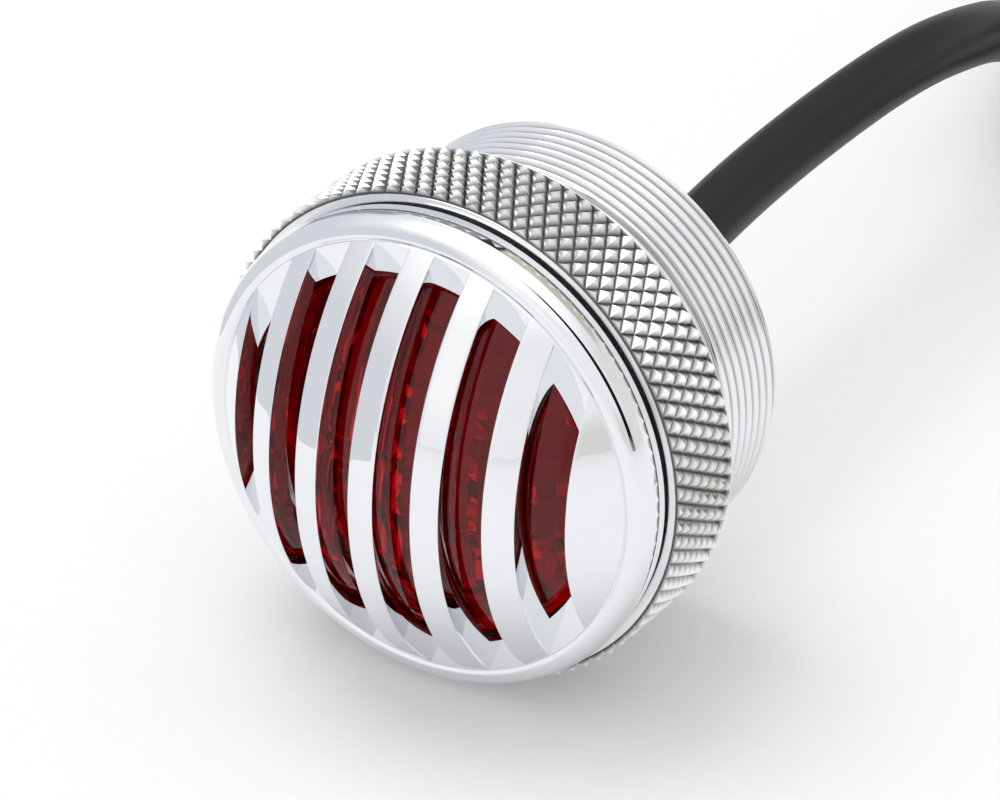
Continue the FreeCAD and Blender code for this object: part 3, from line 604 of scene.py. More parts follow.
def make_barrel(sizes):
    """Barrel blank with close rows outside, then the V thread cut into it by its tree."""
    chamfer, bore = 0.6 * MM, 18.9 * MM
    start, finish = BARREL_LOW.y, BARREL_HIGH.y
    thread_start = CAP_HIGH.y - 0.2 * MM
    rows = round((finish - chamfer - thread_start) / (sizes.pitch / 14))
    outside = [
        (THREAD_R, thread_start + (finish - chamfer - thread_start) * k / rows) for k in range(rows + 1)
    ]
    inner = rounded_tail(
        [
            (THREAD_R - chamfer, finish),
            (5.5 * MM, finish),
            (5.5 * MM, finish - 3 * MM),
            (15.4 * MM, finish - 3 * MM),
            (15.4 * MM, BOARD_HIGH.y),
            (bore, BOARD_HIGH.y),
            (bore, LENS_HIGH.y + 0.8 * MM),
            (20.75 * MM, LENS_HIGH.y + 0.8 * MM),
            (20.75 * MM, start),
            (THREAD_R - chamfer, start),
        ],
        outside[-1],
        (THREAD_R, start + chamfer),
        0.0001,
    )
    piece = turned("threaded_barrel_chrome", [*outside, *inner, (THREAD_R, start + chamfer)], 240, 30)
    values = {
        "Major Radius": THREAD_R,
        "Depth": sizes.depth,
        "Pitch": sizes.pitch,
        "Start": thread_start + 0.1 * MM,
        "End": finish - 0.2 * MM,
        "Axis Height": AXIS_Z,
        "Material": MATERIALS["chrome_barrel"],
    }
    attach_tree(piece, thread_tree(), values)
    finish_piece(piece, HOUSING, "chrome_barrel", "threaded_barrel")
    sharpen(piece, 60)


def knurl_point():
    """One pyramid of the knurl on a unit diamond: a sunk foot, four flanks and a small worn tip."""
    levels = [(1.0, -0.25), (1.0, 0.0), (0.55, 0.52), (0.2, 0.9), (0.08, 1.0)]
    corners = [(0.5, 0.0), (0.0, 0.5), (-0.5, 0.0), (0.0, -0.5)]
    vertices = [(x * s, y * s, h) for s, h in levels for x, y in corners]
    faces = [
        (4 * v + k, 4 * v + (k + 1) % 4, 4 * v + 4 + (k + 1) % 4, 4 * v + 4 + k)
        for v in range(len(levels) - 1)
        for k in range(4)
    ]
    faces += [(3, 2, 1, 0), tuple(4 * (len(levels) - 1) + k for k in range(4))]
    return link_mesh("knurl_point", vertices, faces, smooth=False)


def make_collar(sizes):
    """Locking collar: a bright turned ring with a diamond knurl between its two chamfers."""
    front, rear, bore = COLLAR_LOW.y, COLLAR_HIGH.y, THREAD_R + 0.05 * MM
    root = COLLAR_R - sizes.depth
    start, finish = front + sizes.front_land, rear - sizes.rear_land
    body = [
        (bore, front),
        (root - 0.15 * MM, front),
        (root - 0.12 * MM, front + 0.08 * MM),
        (root, start + 0.05 * MM),
        (root, finish - 0.03 * MM),
        (COLLAR_R - 0.1 * MM, finish),
        (COLLAR_R - 0.1 * MM, finish + 0.1 * MM),
        (root, rear),
        (bore, rear),
    ]
    ring = turned("collar_ring", rounded(body, 0.06 * MM), 512, 25)
    holder = link_mesh("knurl_holder", [(0, 0, 0)], [])
    point = knurl_point()
    values = {
        "Radius": COLLAR_R,
        "Depth": sizes.depth,
        "Start": start,
        "Length": finish - start,
        "Pitch": sizes.axial_pitch,
        "Axis Height": AXIS_Z,
        "Around": sizes.around,
        "Rows": sizes.rows,
        "Point": point,
        "Material": MATERIALS["chrome_knurl"],
    }
    attach_tree(holder, knurl_tree(), values)
    bpy.data.objects.remove(point)
    piece = joined("knurled_collar_chrome", [ring, holder])
    finish_piece(piece, COLLAR, "chrome_knurl", "knurled_collar", merge=False)
    sharpen(piece, 20)


def make_lens(sizes):
    """Domed lens, smooth outside, with upright flutes moulded into its inner face."""
    rim_r, rim_y, apex_y, back_y = 19.3 * MM, FLOOR_Y + 1.3 * MM, LENS_LOW.y, LENS_HIGH.y
    flange_y = back_y - 1.55 * MM
    rise = rim_y - apex_y
    sphere = (rim_r**2 + rise**2) / (2 * rise)
    centre_y, inner = apex_y + sphere, sphere - sizes.wall
    inner_r = math.sqrt(inner**2 - (centre_y - back_y) ** 2)
    half = sizes.flute_pitch / 2
    count = int(inner_r / half)
    columns = [half * k for k in range(-count, count + 1)]
    columns += [
        x
        for x in (inner_r * math.cos(math.radians(3 * k)) for k in range(61))
        if min(abs(x - line) for line in columns) > 0.08 * MM
    ]
    columns = sorted(columns, reverse=True)
    angles = [math.acos(max(-1.0, min(1.0, x / inner_r))) for x in columns]
    angles += [-a for a in reversed(angles[1:-1])]
    vertices = [(0.0, apex_y, AXIS_Z)]
    rings = [[0] * len(angles)]
    steps = 36
    outline = [rim_r * math.sin(math.pi / 2 * k / steps) for k in range(1, steps + 1)]
    outline = [(r, centre_y - math.sqrt(sphere**2 - r**2)) for r in outline]
    outline += [(rim_r, flange_y), (LENS_FLANGE_R, flange_y), (LENS_FLANGE_R, back_y), (inner_r, back_y)]
    for radius, y in outline:
        rings.append(list(range(len(vertices), len(vertices) + len(angles))))
        vertices += [(radius * math.cos(a), y, AXIS_Z + radius * math.sin(a)) for a in angles]
    faces = []
    for first, second in zip(rings, rings[1:]):
        for k in range(len(angles)):
            n = (k + 1) % len(angles)
            faces.append(list(dict.fromkeys([first[k], first[n], second[n], second[k]])))
    edge, last, rows = rings[-1], len(columns) - 1, 64
    grid = []
    for k, x in enumerate(columns):
        if k in (0, last):
            grid.append([edge[k]] * (rows + 1))
            continue
        reach = math.sqrt(inner_r**2 - x**2)
        column = [edge[k]]
        for row in range(1, rows):
            z = reach * math.cos(math.pi * row / rows)
            radius = math.hypot(x, z)
            flute = abs((x / sizes.flute_pitch) % 1.0 * 2 - 1)
            fade = min(1.0, (inner_r - radius) / (1.5 * MM))
            pillow = 0.5 + 0.5 * math.cos(2 * math.pi * z / sizes.pillow_pitch)
            swell = sizes.flute_depth * flute + sizes.pillow_depth * pillow
            y = centre_y - math.sqrt(inner**2 - radius**2) + swell * fade
            column.append(len(vertices))
            vertices.append((x, min(y, back_y), AXIS_Z + z))
        grid.append([*column, edge[-k]])
    for first, second in zip(grid, grid[1:]):
        for row in range(rows):
            corners = [first[row], second[row], second[row + 1], first[row + 1]]
            face = list(dict.fromkeys(corners))
            if len(face) > 2:
                faces.append(face)
    piece = link_mesh("tail_lens_red", vertices, faces)
    finish_piece(piece, HOUSING, "red_lens", "tail_lens")
    sharpen(piece, 15)


def make_seals():
    """Washer in front of the collar, lens gasket and the crimped stop on the lead."""
    low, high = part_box("collar_washer")
    inner = THREAD_R + 0.15 * MM
    washer = turned(
        "collar_washer_rubber",
        rounded([(inner, low.y), (high.x, low.y), (high.x, high.y), (inner, high.y)], 0.1 * MM),
        192,
    )
    finish_piece(washer, WASHER, "washer_rubber", "collar_washer")
    low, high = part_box("lens_gasket")
    gasket = turned(
        "lens_gasket_rubber",
        rounded([(19.1 * MM, low.y), (high.x, low.y), (high.x, high.y), (19.1 * MM, high.y)], 0.25 * MM),
        128,
    )
    finish_piece(gasket, HOUSING, "gasket_rubber", "lens_gasket")
    low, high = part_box("cable_stop")
    middle = (low.y + high.y) / 2
    stop = turned(
        "cable_stop_crimp",
        rounded(
            [
                (CABLE_R, low.y), (high.x, low.y), (high.x - 0.25 * MM, middle),
                (high.x, high.y), (CABLE_R, high.y),
            ],
            0.1 * MM,
        ),
        64,
    )
    finish_piece(stop, HOUSING, "crimp_brass", "cable_stop")


def make_boot():
    """Strain relief: flanges either side of the rear wall and a taper cut by flexing grooves."""
    low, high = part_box("strain_relief")
    rear = BARREL_HIGH.y
    gland, tip = 5.45 * MM, CABLE_R + 0.9 * MM
    outline = [
        (CABLE_R, low.y),
        (7.5 * MM, low.y),
        (7.5 * MM, rear - 3 * MM),
        (gland, rear - 3 * MM),
        (gland, rear),
        (6.7 * MM, rear),
        (6.7 * MM, rear + 1.5 * MM),
        (5.3 * MM, rear + 2.2 * MM),
    ]
    grooves, first, last = 6, rear + 3.0 * MM, high.y - 1.8 * MM
    step = (last - first) / grooves

    def taper(y):
        share = (y - rear - 2.2 * MM) / (high.y - rear - 2.2 * MM)
        return 5.15 * MM + (tip - 5.15 * MM) * share

    for k in range(grooves):
        at = first + k * step
        outline += [
            (taper(at), at),
            (taper(at) - 0.75 * MM, at + 0.25 * MM),
            (taper(at + 0.9 * MM) - 0.75 * MM, at + 0.75 * MM),
            (taper(at + 1.0 * MM), at + 1.0 * MM),
        ]
    outline += [(tip, high.y - 0.3 * MM), (tip - 0.2 * MM, high.y), (CABLE_R, high.y)]
    piece = turned("strain_relief_boot", rounded(outline, 0.2 * MM, 3), 128)
    return finish_piece(piece, HOUSING, "boot_rubber", "strain_relief")


def make_reflector():
    """Metallised reflector whose sloping face is broken into flat facets."""
    low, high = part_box("reflector")
    rim, foot, wall = high.x, 13.4 * MM, 0.8 * MM
    around, levels = 36, 5
    front_r = rim - wall
    vertices, faces, rings = [], [], []
    rows = [(rim, low.y), (front_r, low.y), (front_r, low.y + wall)]
    for k in range(1, levels + 1):
        share = k / levels
        radius = front_r + (foot - wall - front_r) * share
        bulge = 0.35 * MM * math.sin(math.pi * share)
        rows.append((radius, low.y + wall + (high.y - low.y - 2 * wall) * share - bulge))
    rows += [(foot - wall, high.y), (foot, high.y)]
    for index, (radius, y) in enumerate(rows):
        rings.append(list(range(len(vertices), len(vertices) + around)))
        shift = 0.5 if 3 <= index < 3 + levels and index % 2 else 0.0
        for k in range(around):
            a = FULL_TURN * (k + shift) / around
            vertices.append((radius * math.cos(a), y, AXIS_Z + radius * math.sin(a)))
    for i, ring in enumerate(rings):
        following = rings[(i + 1) % len(rings)]
        for k in range(around):
            n = (k + 1) % around
            faces += [(ring[k], ring[n], following[n]), (ring[k], following[n], following[k])]
    piece = link_mesh("reflector_facets", vertices, faces, smooth=False)
    finish_piece(piece, HOUSING, "metallised_plastic", "reflector")


def chip(name, width, depth, height, inset, window):
    """A small package that runs along Y: a bevelled block with a window let into its front."""
    bm = bmesh.new()
    bmesh.ops.create_cube(bm, size=1.0)
    bmesh.ops.scale(bm, verts=bm.verts, vec=(width, depth, height))
    bmesh.ops.bevel(bm, geom=bm.edges[:], offset=min(width, height, depth) * 0.08, segments=2, affect="EDGES")
    front = min(bm.faces, key=lambda f: f.calc_center_median().y)
    if window:
        bmesh.ops.inset_region(bm, faces=[front], thickness=inset)
        bmesh.ops.inset_region(bm, faces=[front], thickness=inset * 0.3, depth=-depth * 0.2)
    mesh = bpy.data.meshes.new(name)
    bm.to_mesh(mesh)
    bm.free()
    item = bpy.data.objects.new(name, mesh)
    bpy.context.scene.collection.objects.link(item)
    return item


def ring_of(radius, count, start, y):
    """Places on a circle about the lamp axis."""
    places = []
    for k in range(count):
        a = math.radians(start + 360 * k / count)
        places.append((radius * math.cos(a), y, AXIS_Z + radius * math.sin(a)))
    return places


def screw_item():
    """A pan-head screw along Y with a driver slot, head towards -Y and shank behind it."""
    head, shank, rise = 1.7 * MM, 0.93 * MM, 1.1 * MM
    outline = [
        (0.0, 0.0), (head * 0.5, 0.02 * MM), (head * 0.85, 0.2 * MM), (head, 0.55 * MM), (head, rise),
        (shank, rise), (shank, rise + 3.9 * MM), (shank * 0.6, rise + 4.3 * MM), (0.0, rise + 4.3 * MM),
    ]
    blank = turned("screw_item", outline, 32, 30, centre=(0.0, 0.0))
    bm = bmesh.new()
    bmesh.ops.create_cube(bm, size=1.0)
    bmesh.ops.scale(bm, verts=bm.verts, vec=(4 * head, 0.9 * MM, 0.4 * MM))
    mesh = bpy.data.meshes.new("screw_slot")
    bm.to_mesh(mesh)
    bm.free()
    cutter = bpy.data.objects.new("screw_slot", mesh)
    bpy.context.scene.collection.objects.link(cutter)
    cut = blank.modifiers.new("slot", "BOOLEAN")
    cut.object, cut.operation, cut.solver = cutter, "DIFFERENCE", "EXACT"
    bpy.context.view_layer.update()
    made = bpy.data.meshes.new_from_object(blank.evaluated_get(bpy.context.evaluated_depsgraph_get()))
    blank.modifiers.clear()
    blank.data = made
    bpy.data.objects.remove(cutter)
    return blank


def make_board():
    """Circuit board with its light sources, resistors, regulator and screws."""
    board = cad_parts["led_board"]
    board.data.materials.clear()
    board.data.materials.append(MATERIALS["solder_mask"])
    front, back = BOARD_LOW.y, BOARD_HIGH.y
    for node, radius, count in (("brake_leds", 9.0, 8), ("tail_leds", 3.8, 4)):
        item = chip("led_item", 3 * MM, 1.2 * MM, 3 * MM, 0.45 * MM, True)
        material = MATERIALS["led_package"]
        piece = copies(node + "_lit", item, ring_of(radius * MM, count, 22.5, front - 0.6 * MM), material)
        finish_piece(piece, HOUSING, "led_package", node)
    item = chip("resistor_item", 3.2 * MM, 0.7 * MM, 1.6 * MM, 0.0, False)
    spots = [((k - 1.5) * 4.4 * MM, back + 0.35 * MM, AXIS_Z + 7.5 * MM) for k in range(4)]
    piece = copies("resistors_row", item, spots, MATERIALS["resistor_ceramic"])
    finish_piece(piece, HOUSING, "resistor_ceramic", "resistors")
    item = chip("regulator_item", 6.6 * MM, 2.3 * MM, 6.2 * MM, 0.0, False)
    spot = (0.0, back + 1.15 * MM, AXIS_Z - 8 * MM)
    piece = copies("regulator_chip", item, [spot], MATERIALS["moulded_epoxy"])
    finish_piece(piece, HOUSING, "moulded_epoxy", "regulator")
    spots = ring_of(17.05 * MM, 3, 90, front - 1.1 * MM)
    screws = copies("board_screws_zinc", screw_item(), spots, MATERIALS["zinc_screw"])
    finish_piece(screws, HOUSING, "zinc_screw", "board_screws")
    sharpen(screws, 30)


def make_cores():
    """The three cores from the board to the jacket's inner end, as smooth curves."""
    start, finish = BOARD_HIGH.y, ROUTE[0][1]
    run = finish - start
    for colour, turn in zip(("red", "yellow", "black"), (90, 210, 330)):
        x, z = math.cos(math.radians(turn)), math.sin(math.radians(turn))
        wide, tight = 5.0 * MM, 1.7 * MM
        points = [
            (wide * x, start, AXIS_Z + wide * z),
            (wide * x, start + 0.3 * run, AXIS_Z + wide * z),
            (tight * x, start + 0.75 * run, AXIS_Z + tight * z),
            (tight * x, finish, AXIS_Z + tight * z),
        ]
        make_wire(f"{colour}_core_wire", points, CORE_R, HOUSING, f"{colour}_insulation", f"{colour}_core")


def make_wire(name, points, radius, body, slot, *nodes):
    """A round wire along one smooth open spline."""
    curve = bpy.data.curves.new(name, "CURVE")
    curve.dimensions = "3D"
    curve.bevel_depth, curve.bevel_resolution = 1.0, 5
    curve.resolution_u, curve.use_fill_caps = 12, True
    spline = curve.splines.new("NURBS")
    spline.points.add(len(points) - 1)
    for place, point in zip(spline.points, points):
        place.co = (*point, 1.0)
        place.radius = radius
    spline.order_u = 3
    spline.use_endpoint_u = True
    wire = bpy.data.objects.new(name, curve)
    bpy.context.scene.collection.objects.link(wire)
    curve.materials.append(MATERIALS[slot])
    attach(wire, body)
    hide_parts(*nodes)
    return wire


def lead_points():
    """The lead's route, then a turn and a half of coil that climbs over its start, then its tail."""
    climb = {270: 3.3, 285: 4.5, 300: 8.0, 310: 10.8, 320: 12.3, 330: 12.1, 340: 11.3, 350: 10.4, 360: 9.9}
    lower = {15 * k: 3.8 if k in (5, 6, 7) else 3.3 for k in range(1, 18)}
    upper = {360 + 15 * k: 10.2 if k in (5, 6, 7) else 9.9 for k in range(1, 12)}
    turns = []
    for turn, height in {**lower, **climb, **upper}.items():
        a = math.radians(turn)
        x, y = COIL_CENTRE.x - COIL_R * math.cos(a), COIL_CENTRE.y + COIL_R * math.sin(a)
        turns.append((x, y, height * MM))
    return [*ROUTE, *turns, *TAIL]


def make_lead(going_with):
    """The jacketed lead, as one free cord that is wound into its coil."""
    lead = make_wire(
        "jacketed_lead", lead_points(), CABLE_R, HOUSING, "cable_jacket", "cable", "cable_coil", "cable_tail"
    )
    lead.data.bevel_resolution = 8


def make_tie():
    """Nylon tie: a rounded strap round both turns with its square head."""
    low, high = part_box("coil_tie")
    thick = 0.6 * MM
    middle_y, middle_z = (low.y + high.y) / 2, (low.z + high.z) / 2
    half_y, half_z = (high.y - low.y) / 2, (high.z - low.z) / 2
    corner = half_y - 0.4 * MM
    loop = []
    for quarter, (sy, sz) in enumerate(((1, 1), (-1, 1), (-1, -1), (1, -1))):
        for s in range(9):
            a = math.radians(90 * (quarter + s / 8))
            loop.append((sy * (half_y - corner), sz * (half_z - corner), math.cos(a), math.sin(a)))
    # Across the strap: flat faces and thin bevelled edges, as shares of its width and thickness.
    outside = [(-0.5, 0.25), (-0.44, 0.0), (0.44, 0.0), (0.5, 0.25)]
    section = outside + [(across, 1.0 - depth) for across, depth in reversed(outside)]
    vertices, faces = [], []
    width, middle_x = high.x - low.x, (low.x + high.x) / 2
    for cy, cz, dy, dz in loop:
        for across, depth in section:
            reach = corner - depth * thick
            y, z = middle_y + cy + dy * reach, middle_z + cz + dz * reach
            vertices.append((middle_x + across * width, y, z))
    count, round_ = len(section), len(loop)
    for i in range(round_):
        for k in range(count):
            a, b, n = i * count, (i + 1) % round_ * count, (k + 1) % count
            faces.append((a + k, a + n, b + n, b + k))
    strap = link_mesh("tie_strap", vertices, faces)
    head = chip("tie_head", width, 1.2 * MM, 3.6 * MM, 0.5 * MM, True)
    head.data.transform(Matrix.Translation((middle_x, low.y + 0.7 * MM, middle_z + 1.0 * MM)))
    piece = joined("coil_tie_nylon", [strap, head])
    finish_piece(piece, HOUSING, "tie_nylon", "coil_tie")
    sharpen(piece, 35)
    return piece


def make_lead_end():
    """Shrunk sleeve, three short leads, and a sleeved bullet terminal on each."""
    low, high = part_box("end_sleeve")
    x, z = (low.x + high.x) / 2, (low.z + high.z) / 2
    outer = (high.x - low.x) / 2
    outline = [
        (0.0, low.y), (2.4 * MM, low.y), (2.9 * MM, low.y + 0.3 * MM), (3.1 * MM, low.y + 1.2 * MM),
        (outer, low.y + 2.6 * MM), (outer - 0.08 * MM, low.y + 4.5 * MM), (outer, high.y - 0.9 * MM),
        (outer - 0.1 * MM, high.y), (0.0, high.y),
    ]
    sleeve = turned("end_sleeve_shrunk", rounded(outline, 0.35 * MM), 64, 35, centre=(x, z))
    finish_piece(sleeve, HOUSING, "heat_shrink", "end_sleeve")
    skins_low, skins_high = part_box("terminal_sleeves")
    bullets_low, bullets_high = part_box("bullet_terminals")
    skin_r = (skins_high.z - skins_low.z) / 2
    floor_z = skins_low.z + skin_r
    tip, back = skins_low.y, skins_high.y
    made, skins, bullets = [sleeve], [], []
    for k, colour in enumerate(("red", "yellow", "black")):
        start_x = x + (k - 1) * 1.9 * MM
        end_x = skins_low.x + skin_r + k * (skins_high.x - skins_low.x - 2 * skin_r) / 2
        points = [
            (start_x, low.y, z), (start_x, low.y - 5.04 * MM, z),
            (end_x, back + 5.04 * MM, floor_z), (end_x, back - 3 * MM, floor_z),
        ]
        slot = f"{colour}_insulation"
        made.append(make_wire(f"{colour}_lead_wire", points, CORE_R, HOUSING, slot, f"{colour}_lead"))
        skin = [
            (CORE_R + 0.15 * MM, back), (1.5 * MM, back - 0.1 * MM), (skin_r - 0.35 * MM, back - 3.2 * MM),
            (skin_r, back - 4.2 * MM), (skin_r, tip + 0.3 * MM), (skin_r - 0.15 * MM, tip),
            (1.98 * MM, tip), (1.98 * MM, back - 4.6 * MM), (1.2 * MM, back - 1.2 * MM),
        ]
        skins.append(turned(f"skin_{k}", rounded(skin, 0.2 * MM, 3), 48, 35, centre=(end_x, floor_z)))
        reach = bullets_low.y
        neck = reach + 4.95 * MM
        stem = [
            (0.0, reach), (0.9 * MM, reach + 0.05 * MM),
            (1.6 * MM, reach + 0.8 * MM), (1.95 * MM, reach + 1.9 * MM),
            (1.95 * MM, neck - 0.9 * MM), (1.5 * MM, neck), (1.95 * MM, neck + 0.9 * MM),
            (1.95 * MM, tip + 3.5 * MM), (1.35 * MM, tip + 4.1 * MM), (1.35 * MM, tip + 7.5 * MM),
            (1.1 * MM, tip + 7.9 * MM), (0.0, tip + 7.9 * MM),
        ]
        bullets.append(turned(f"bullet_{k}", rounded(stem, 0.3 * MM, 3), 48, 35, centre=(end_x, floor_z)))
    skins = joined("terminal_sleeves_vinyl", skins)
    finish_piece(skins, HOUSING, "clear_vinyl", "terminal_sleeves")
    bullets = joined("bullet_terminals_brass", bullets)
    finish_piece(bullets, HOUSING, "terminal_brass", "bullet_terminals")
    sharpen(skins, 35)
    sharpen(bullets, 35)
    return [*made, skins, bullets]


def make_camera(view):
    """Camera at the chosen angle, with its roll and aim."""
    azimuth, elevation = view.azimuth, view.elevation
    back = Vector(
        (
            math.sin(azimuth) * math.cos(elevation),
            -math.cos(azimuth) * math.cos(elevation),
            math.sin(elevation),
        )
    )
    right = Vector((math.cos(azimuth), math.sin(azimuth), 0.0))
    up = back.cross(right)
    aim = Vector((0.0, FLOOR_Y, AXIS_Z)) + view.aim_right * right + view.aim_up * up
    turned_right = math.cos(view.roll) * right + math.sin(view.roll) * up
    turned_up = math.cos(view.roll) * up - math.sin(view.roll) * right
    data = bpy.data.cameras.new("camera")
    data.lens, data.sensor_width = view.focal_length, 36.0
    data.clip_start, data.clip_end = 0.01, 20.0
    camera = bpy.data.objects.new("camera", data)
    bpy.context.scene.collection.objects.link(camera)
    place = Matrix((turned_right, turned_up, back)).transposed().to_4x4()
    place.translation = aim + back * view.distance
    camera.matrix_world = place
    bpy.context.scene.camera = camera


def emission(name, colour):
    """A card's own even light."""
    material = bpy.data.materials.new(name)
    material.use_nodes = True
    tree = material.node_tree
    tree.nodes.clear()
    light = add_node(tree, "ShaderNodeEmission", {"Color": colour, "Strength": 1.0})
    add_node(tree, "ShaderNodeOutputMaterial", {"Surface": light})
    return material


def make_softbox(name, centre, towards, side, power):
    """A soft square area light."""
    data = bpy.data.lights.new(name, "AREA")
    data.shape, data.size, data.energy = "SQUARE", side, power
    light = bpy.data.objects.new(name, data)
    facing = (Vector(centre) - Vector(towards)).to_track_quat("Z", "Y")
    light.matrix_world = Matrix.Translation(centre) @ facing.to_matrix().to_4x4()
    bpy.context.scene.collection.objects.link(light)


def patch(sky, angles, colour, sides, spread, level):
    """Lays one soft-edged rectangle of sky over the colour so far; sides and spread are in degrees."""
    mask = None
    for angle, (low, high), soft in zip(angles, sides, spread):
        for sign, edge in ((1.0, low), (-1.0, high)):
            rise = add_node(sky, MATH, [angle, math.radians(edge)], operation="SUBTRACT")
            steepness = sign / math.radians(soft)
            side = add_node(sky, MATH, [rise, steepness, 0.5], operation="MULTIPLY_ADD", use_clamp=True)
            mask = side if mask is None else add_node(sky, MATH, [mask, side], operation="MULTIPLY")
    mix = add_node(sky, "ShaderNodeMix", {0: mask, MIX_A: colour, MIX_B: level}, data_type="RGBA")
    return mix.outputs[MIX_RESULT]


def tone(hex_colour, share=1.0):
    """A sky tone that polished chrome shows as this colour."""
    reflected = 0.87  # the chrome's own reflectance
    return [share * c / reflected for c in linear(hex_colour)[:3]] + [1.0]


def make_sky(strength):
    """Studio surroundings by direction: 0 degrees is in front of the lamp and 90 to its right."""
    world = bpy.data.worlds.new("white_studio")
    bpy.context.scene.world = world
    world.use_nodes = True
    sky = world.node_tree
    sky.nodes.clear()
    direction = add_node(sky, "ShaderNodeTexCoord").outputs["Generated"]
    x, y, z = add_node(sky, "ShaderNodeSeparateXYZ", [direction]).outputs
    forward = add_node(sky, MATH, [y, -1.0], operation="MULTIPLY")
    azimuth = add_node(sky, MATH, [x, forward], operation="ARCTAN2")
    elevation = add_node(sky, MATH, [z], operation="ARCSINE")
    base = add_node(sky, "ShaderNodeRGB")
    base.outputs[0].default_value = tone("#EBEBEC")
    colour = base.outputs[0]
    # Each patch: azimuth and elevation of its sides, softness of both, and its tone. All in degrees.
    patches = [
        ((-200, -14), (-95, 34), (14, 22), tone("#D4D5DA")),  # cool wall to the left
        ((44, 200), (-95, 12), (14, 8), tone("#D6D5D1")),  # warmer wall to the right
        ((100, 200), (-95, 40), (14, 16), tone("#DCDCD8")),  # the same wall, further back
        ((-14, 14), (8, 95), (20, 20), tone("#F8F8F8")),  # bright panel in front, overhead
        ((-200, 200), (52, 95), (2, 18), tone("#FFFFFF", 1.1)),  # ceiling softbox
        ((-200, -124), (-10, 34), (6, 6), tone("#8F9598")),  # dim room behind, to the left
        ((166, 200), (-10, 19), (14, 6), tone("#AFADA3")),  # dim room behind, to the right
        ((150, 200), (19, 33), (6, 4), tone("#BEBBAC")),  # beige furnishings behind
        ((-200, -169), (19, 33), (1, 3), tone("#C6C4AE")),  # their lighter end
        ((-170, -162), (17, 34), (1.5, 3), tone("#453A3A")),  # dark doorway
        ((81, 95), (-2, 74), (1.5, 14), tone("#141414")),  # gap between two panels
    ]
    for azimuths, elevations, spread, level in patches:
        colour = patch(sky, (azimuth, elevation), colour, (azimuths, elevations), spread, level)
    light = add_node(sky, "ShaderNodeBackground", {"Color": colour, "Strength": strength})
    add_node(sky, "ShaderNodeOutputWorld", {"Surface": light})


def make_stage(studio):
    """Pale floor, a grey card that only the chrome sees, white surroundings and a softbox."""
    scene = bpy.context.scene
    scene.view_settings.view_transform = "Standard"
    scene.view_settings.look = "None"
    radius, steps = 1.6, 96
    turns = [FULL_TURN * k / steps for k in range(steps)]
    ring = [(radius * math.cos(a), radius * math.sin(a), 0.0) for a in turns]
    floor = link_mesh("floor", ring, [tuple(range(steps))])
    # Matt background paper: spreads light evenly, with only a faint trace of gloss.
    glow = {"Emission Color": linear("#FFFFFF"), "Emission Strength": studio.floor_glow}
    values = {"Specular IOR Level": 0.1, **glow}
    material = patterned("matt_paper", ("#D0D0D1", "#D4D4D4"), 1.5, (0.85, 0.95), None, values)
    floor.data.materials.append(material)
    # Cool grey card that lies in front of the lamp, to its left, and shows only in the chrome. Its
    # near edge curves away from the lamp on both sides of the middle.
    card_y, card_z, far, steps = -0.019, 0.0004, 1.5, 40
    first, last, middle, widening = -118, -22, -57, 28
    inner, outer = [], []
    for k in range(steps + 1):
        degrees = first + (last - first) * k / steps
        off = (degrees - middle) / widening
        near = 0.0905 + (0.029 if off > 0 else 0.004) * off * off
        a = math.radians(degrees)
        for edge, reach in ((inner, near), (outer, far)):
            edge.append((reach * math.sin(a), card_y - reach * math.cos(a), card_z))
    start = steps + 1  # the outer edge's first vertex
    faces = [(k, k + 1, start + k + 1, start + k) for k in range(steps)]
    card = link_mesh("grey_card", inner + outer, faces)
    card.data.materials.append(emission("grey_card_tone", tone("#D3D5D9")))
    for ray in ("camera", "diffuse", "shadow", "transmission"):
        setattr(card, f"visible_{ray}", False)
    make_sky(studio.ambient)
    make_softbox("overhead_softbox", (-0.3, 0.02, 0.9), (0, 0, 0.02), 0.6, studio.key_power)


def length(name, description, mm):
    """A size given in millimetres and kept in metres."""
    settings = {"default": mm * MM, "min": 0.0, "precision": 5, "unit": "LENGTH"}
    return FloatProperty(name=name, description=description, **settings)


def shade(name, description, hex_colour):
    """A colour given as sRGB hex and kept linear."""
    settings = {"default": linear(hex_colour), "size": 4, "min": 0.0, "max": 1.0, "subtype": "COLOR"}
    return FloatVectorProperty(name=name, description=description, **settings)


def turn(name, description, radians):
    """An angle, kept in radians."""
    return FloatProperty(name=name, description=description, default=radians, subtype="ANGLE")


def amount(name, description, default, **settings):
    """A strength or power that can't be negative."""
    return FloatProperty(name=name, description=description, default=default, min=0.0, **settings)


class TailLightCap(bpy.types.PropertyGroup):
    """Sizes of the finned cap."""

    dome_radius: length("Dome radius", "Radius at which the dome meets the rim", 22.5)
    dome_height: length("Dome height", "Rise of the dome above the floor of its slots", 10.73)
    fin_depth: length("Fin depth", "Depth of a fin behind the dome", 3.1)
    fin_edge: length("Fin edge", "Radius worn on each edge of a fin", 0.12)
    window_radius: length("Window radius", "Radius of the opening behind the fins", 19.53)
    rim_flat: length("Rim flat", "Width of the rim before it rounds over", 0.6)
    groove: length("Groove", "Size of the fine groove between the dome and the rim", 0.25)
    crease_depth: length("Crease depth", "How far behind the slots' floor the rim ends", 2.1)
    crease_lip: length("Crease lip", "How far the rim still rises where it meets the band", 0.35)
    band_taper: length("Band taper", "How much the band behind the crease tapers", 0.34)
    plate: length("Plate", "Thickness of the plate at the slots' floor", 1.4)
    slot_pitch: length("Slot pitch", "Distance from one slot to the next", 6.63)
    slot_width: length("Slot width", "Width of a slot", 3.89)


class TailLightThread(bpy.types.PropertyGroup):
    """Sizes of the barrel's thread."""

    pitch: length("Pitch", "Distance from one thread crest to the next", 1.27)
    depth: length("Depth", "Depth of the thread groove", 0.6)


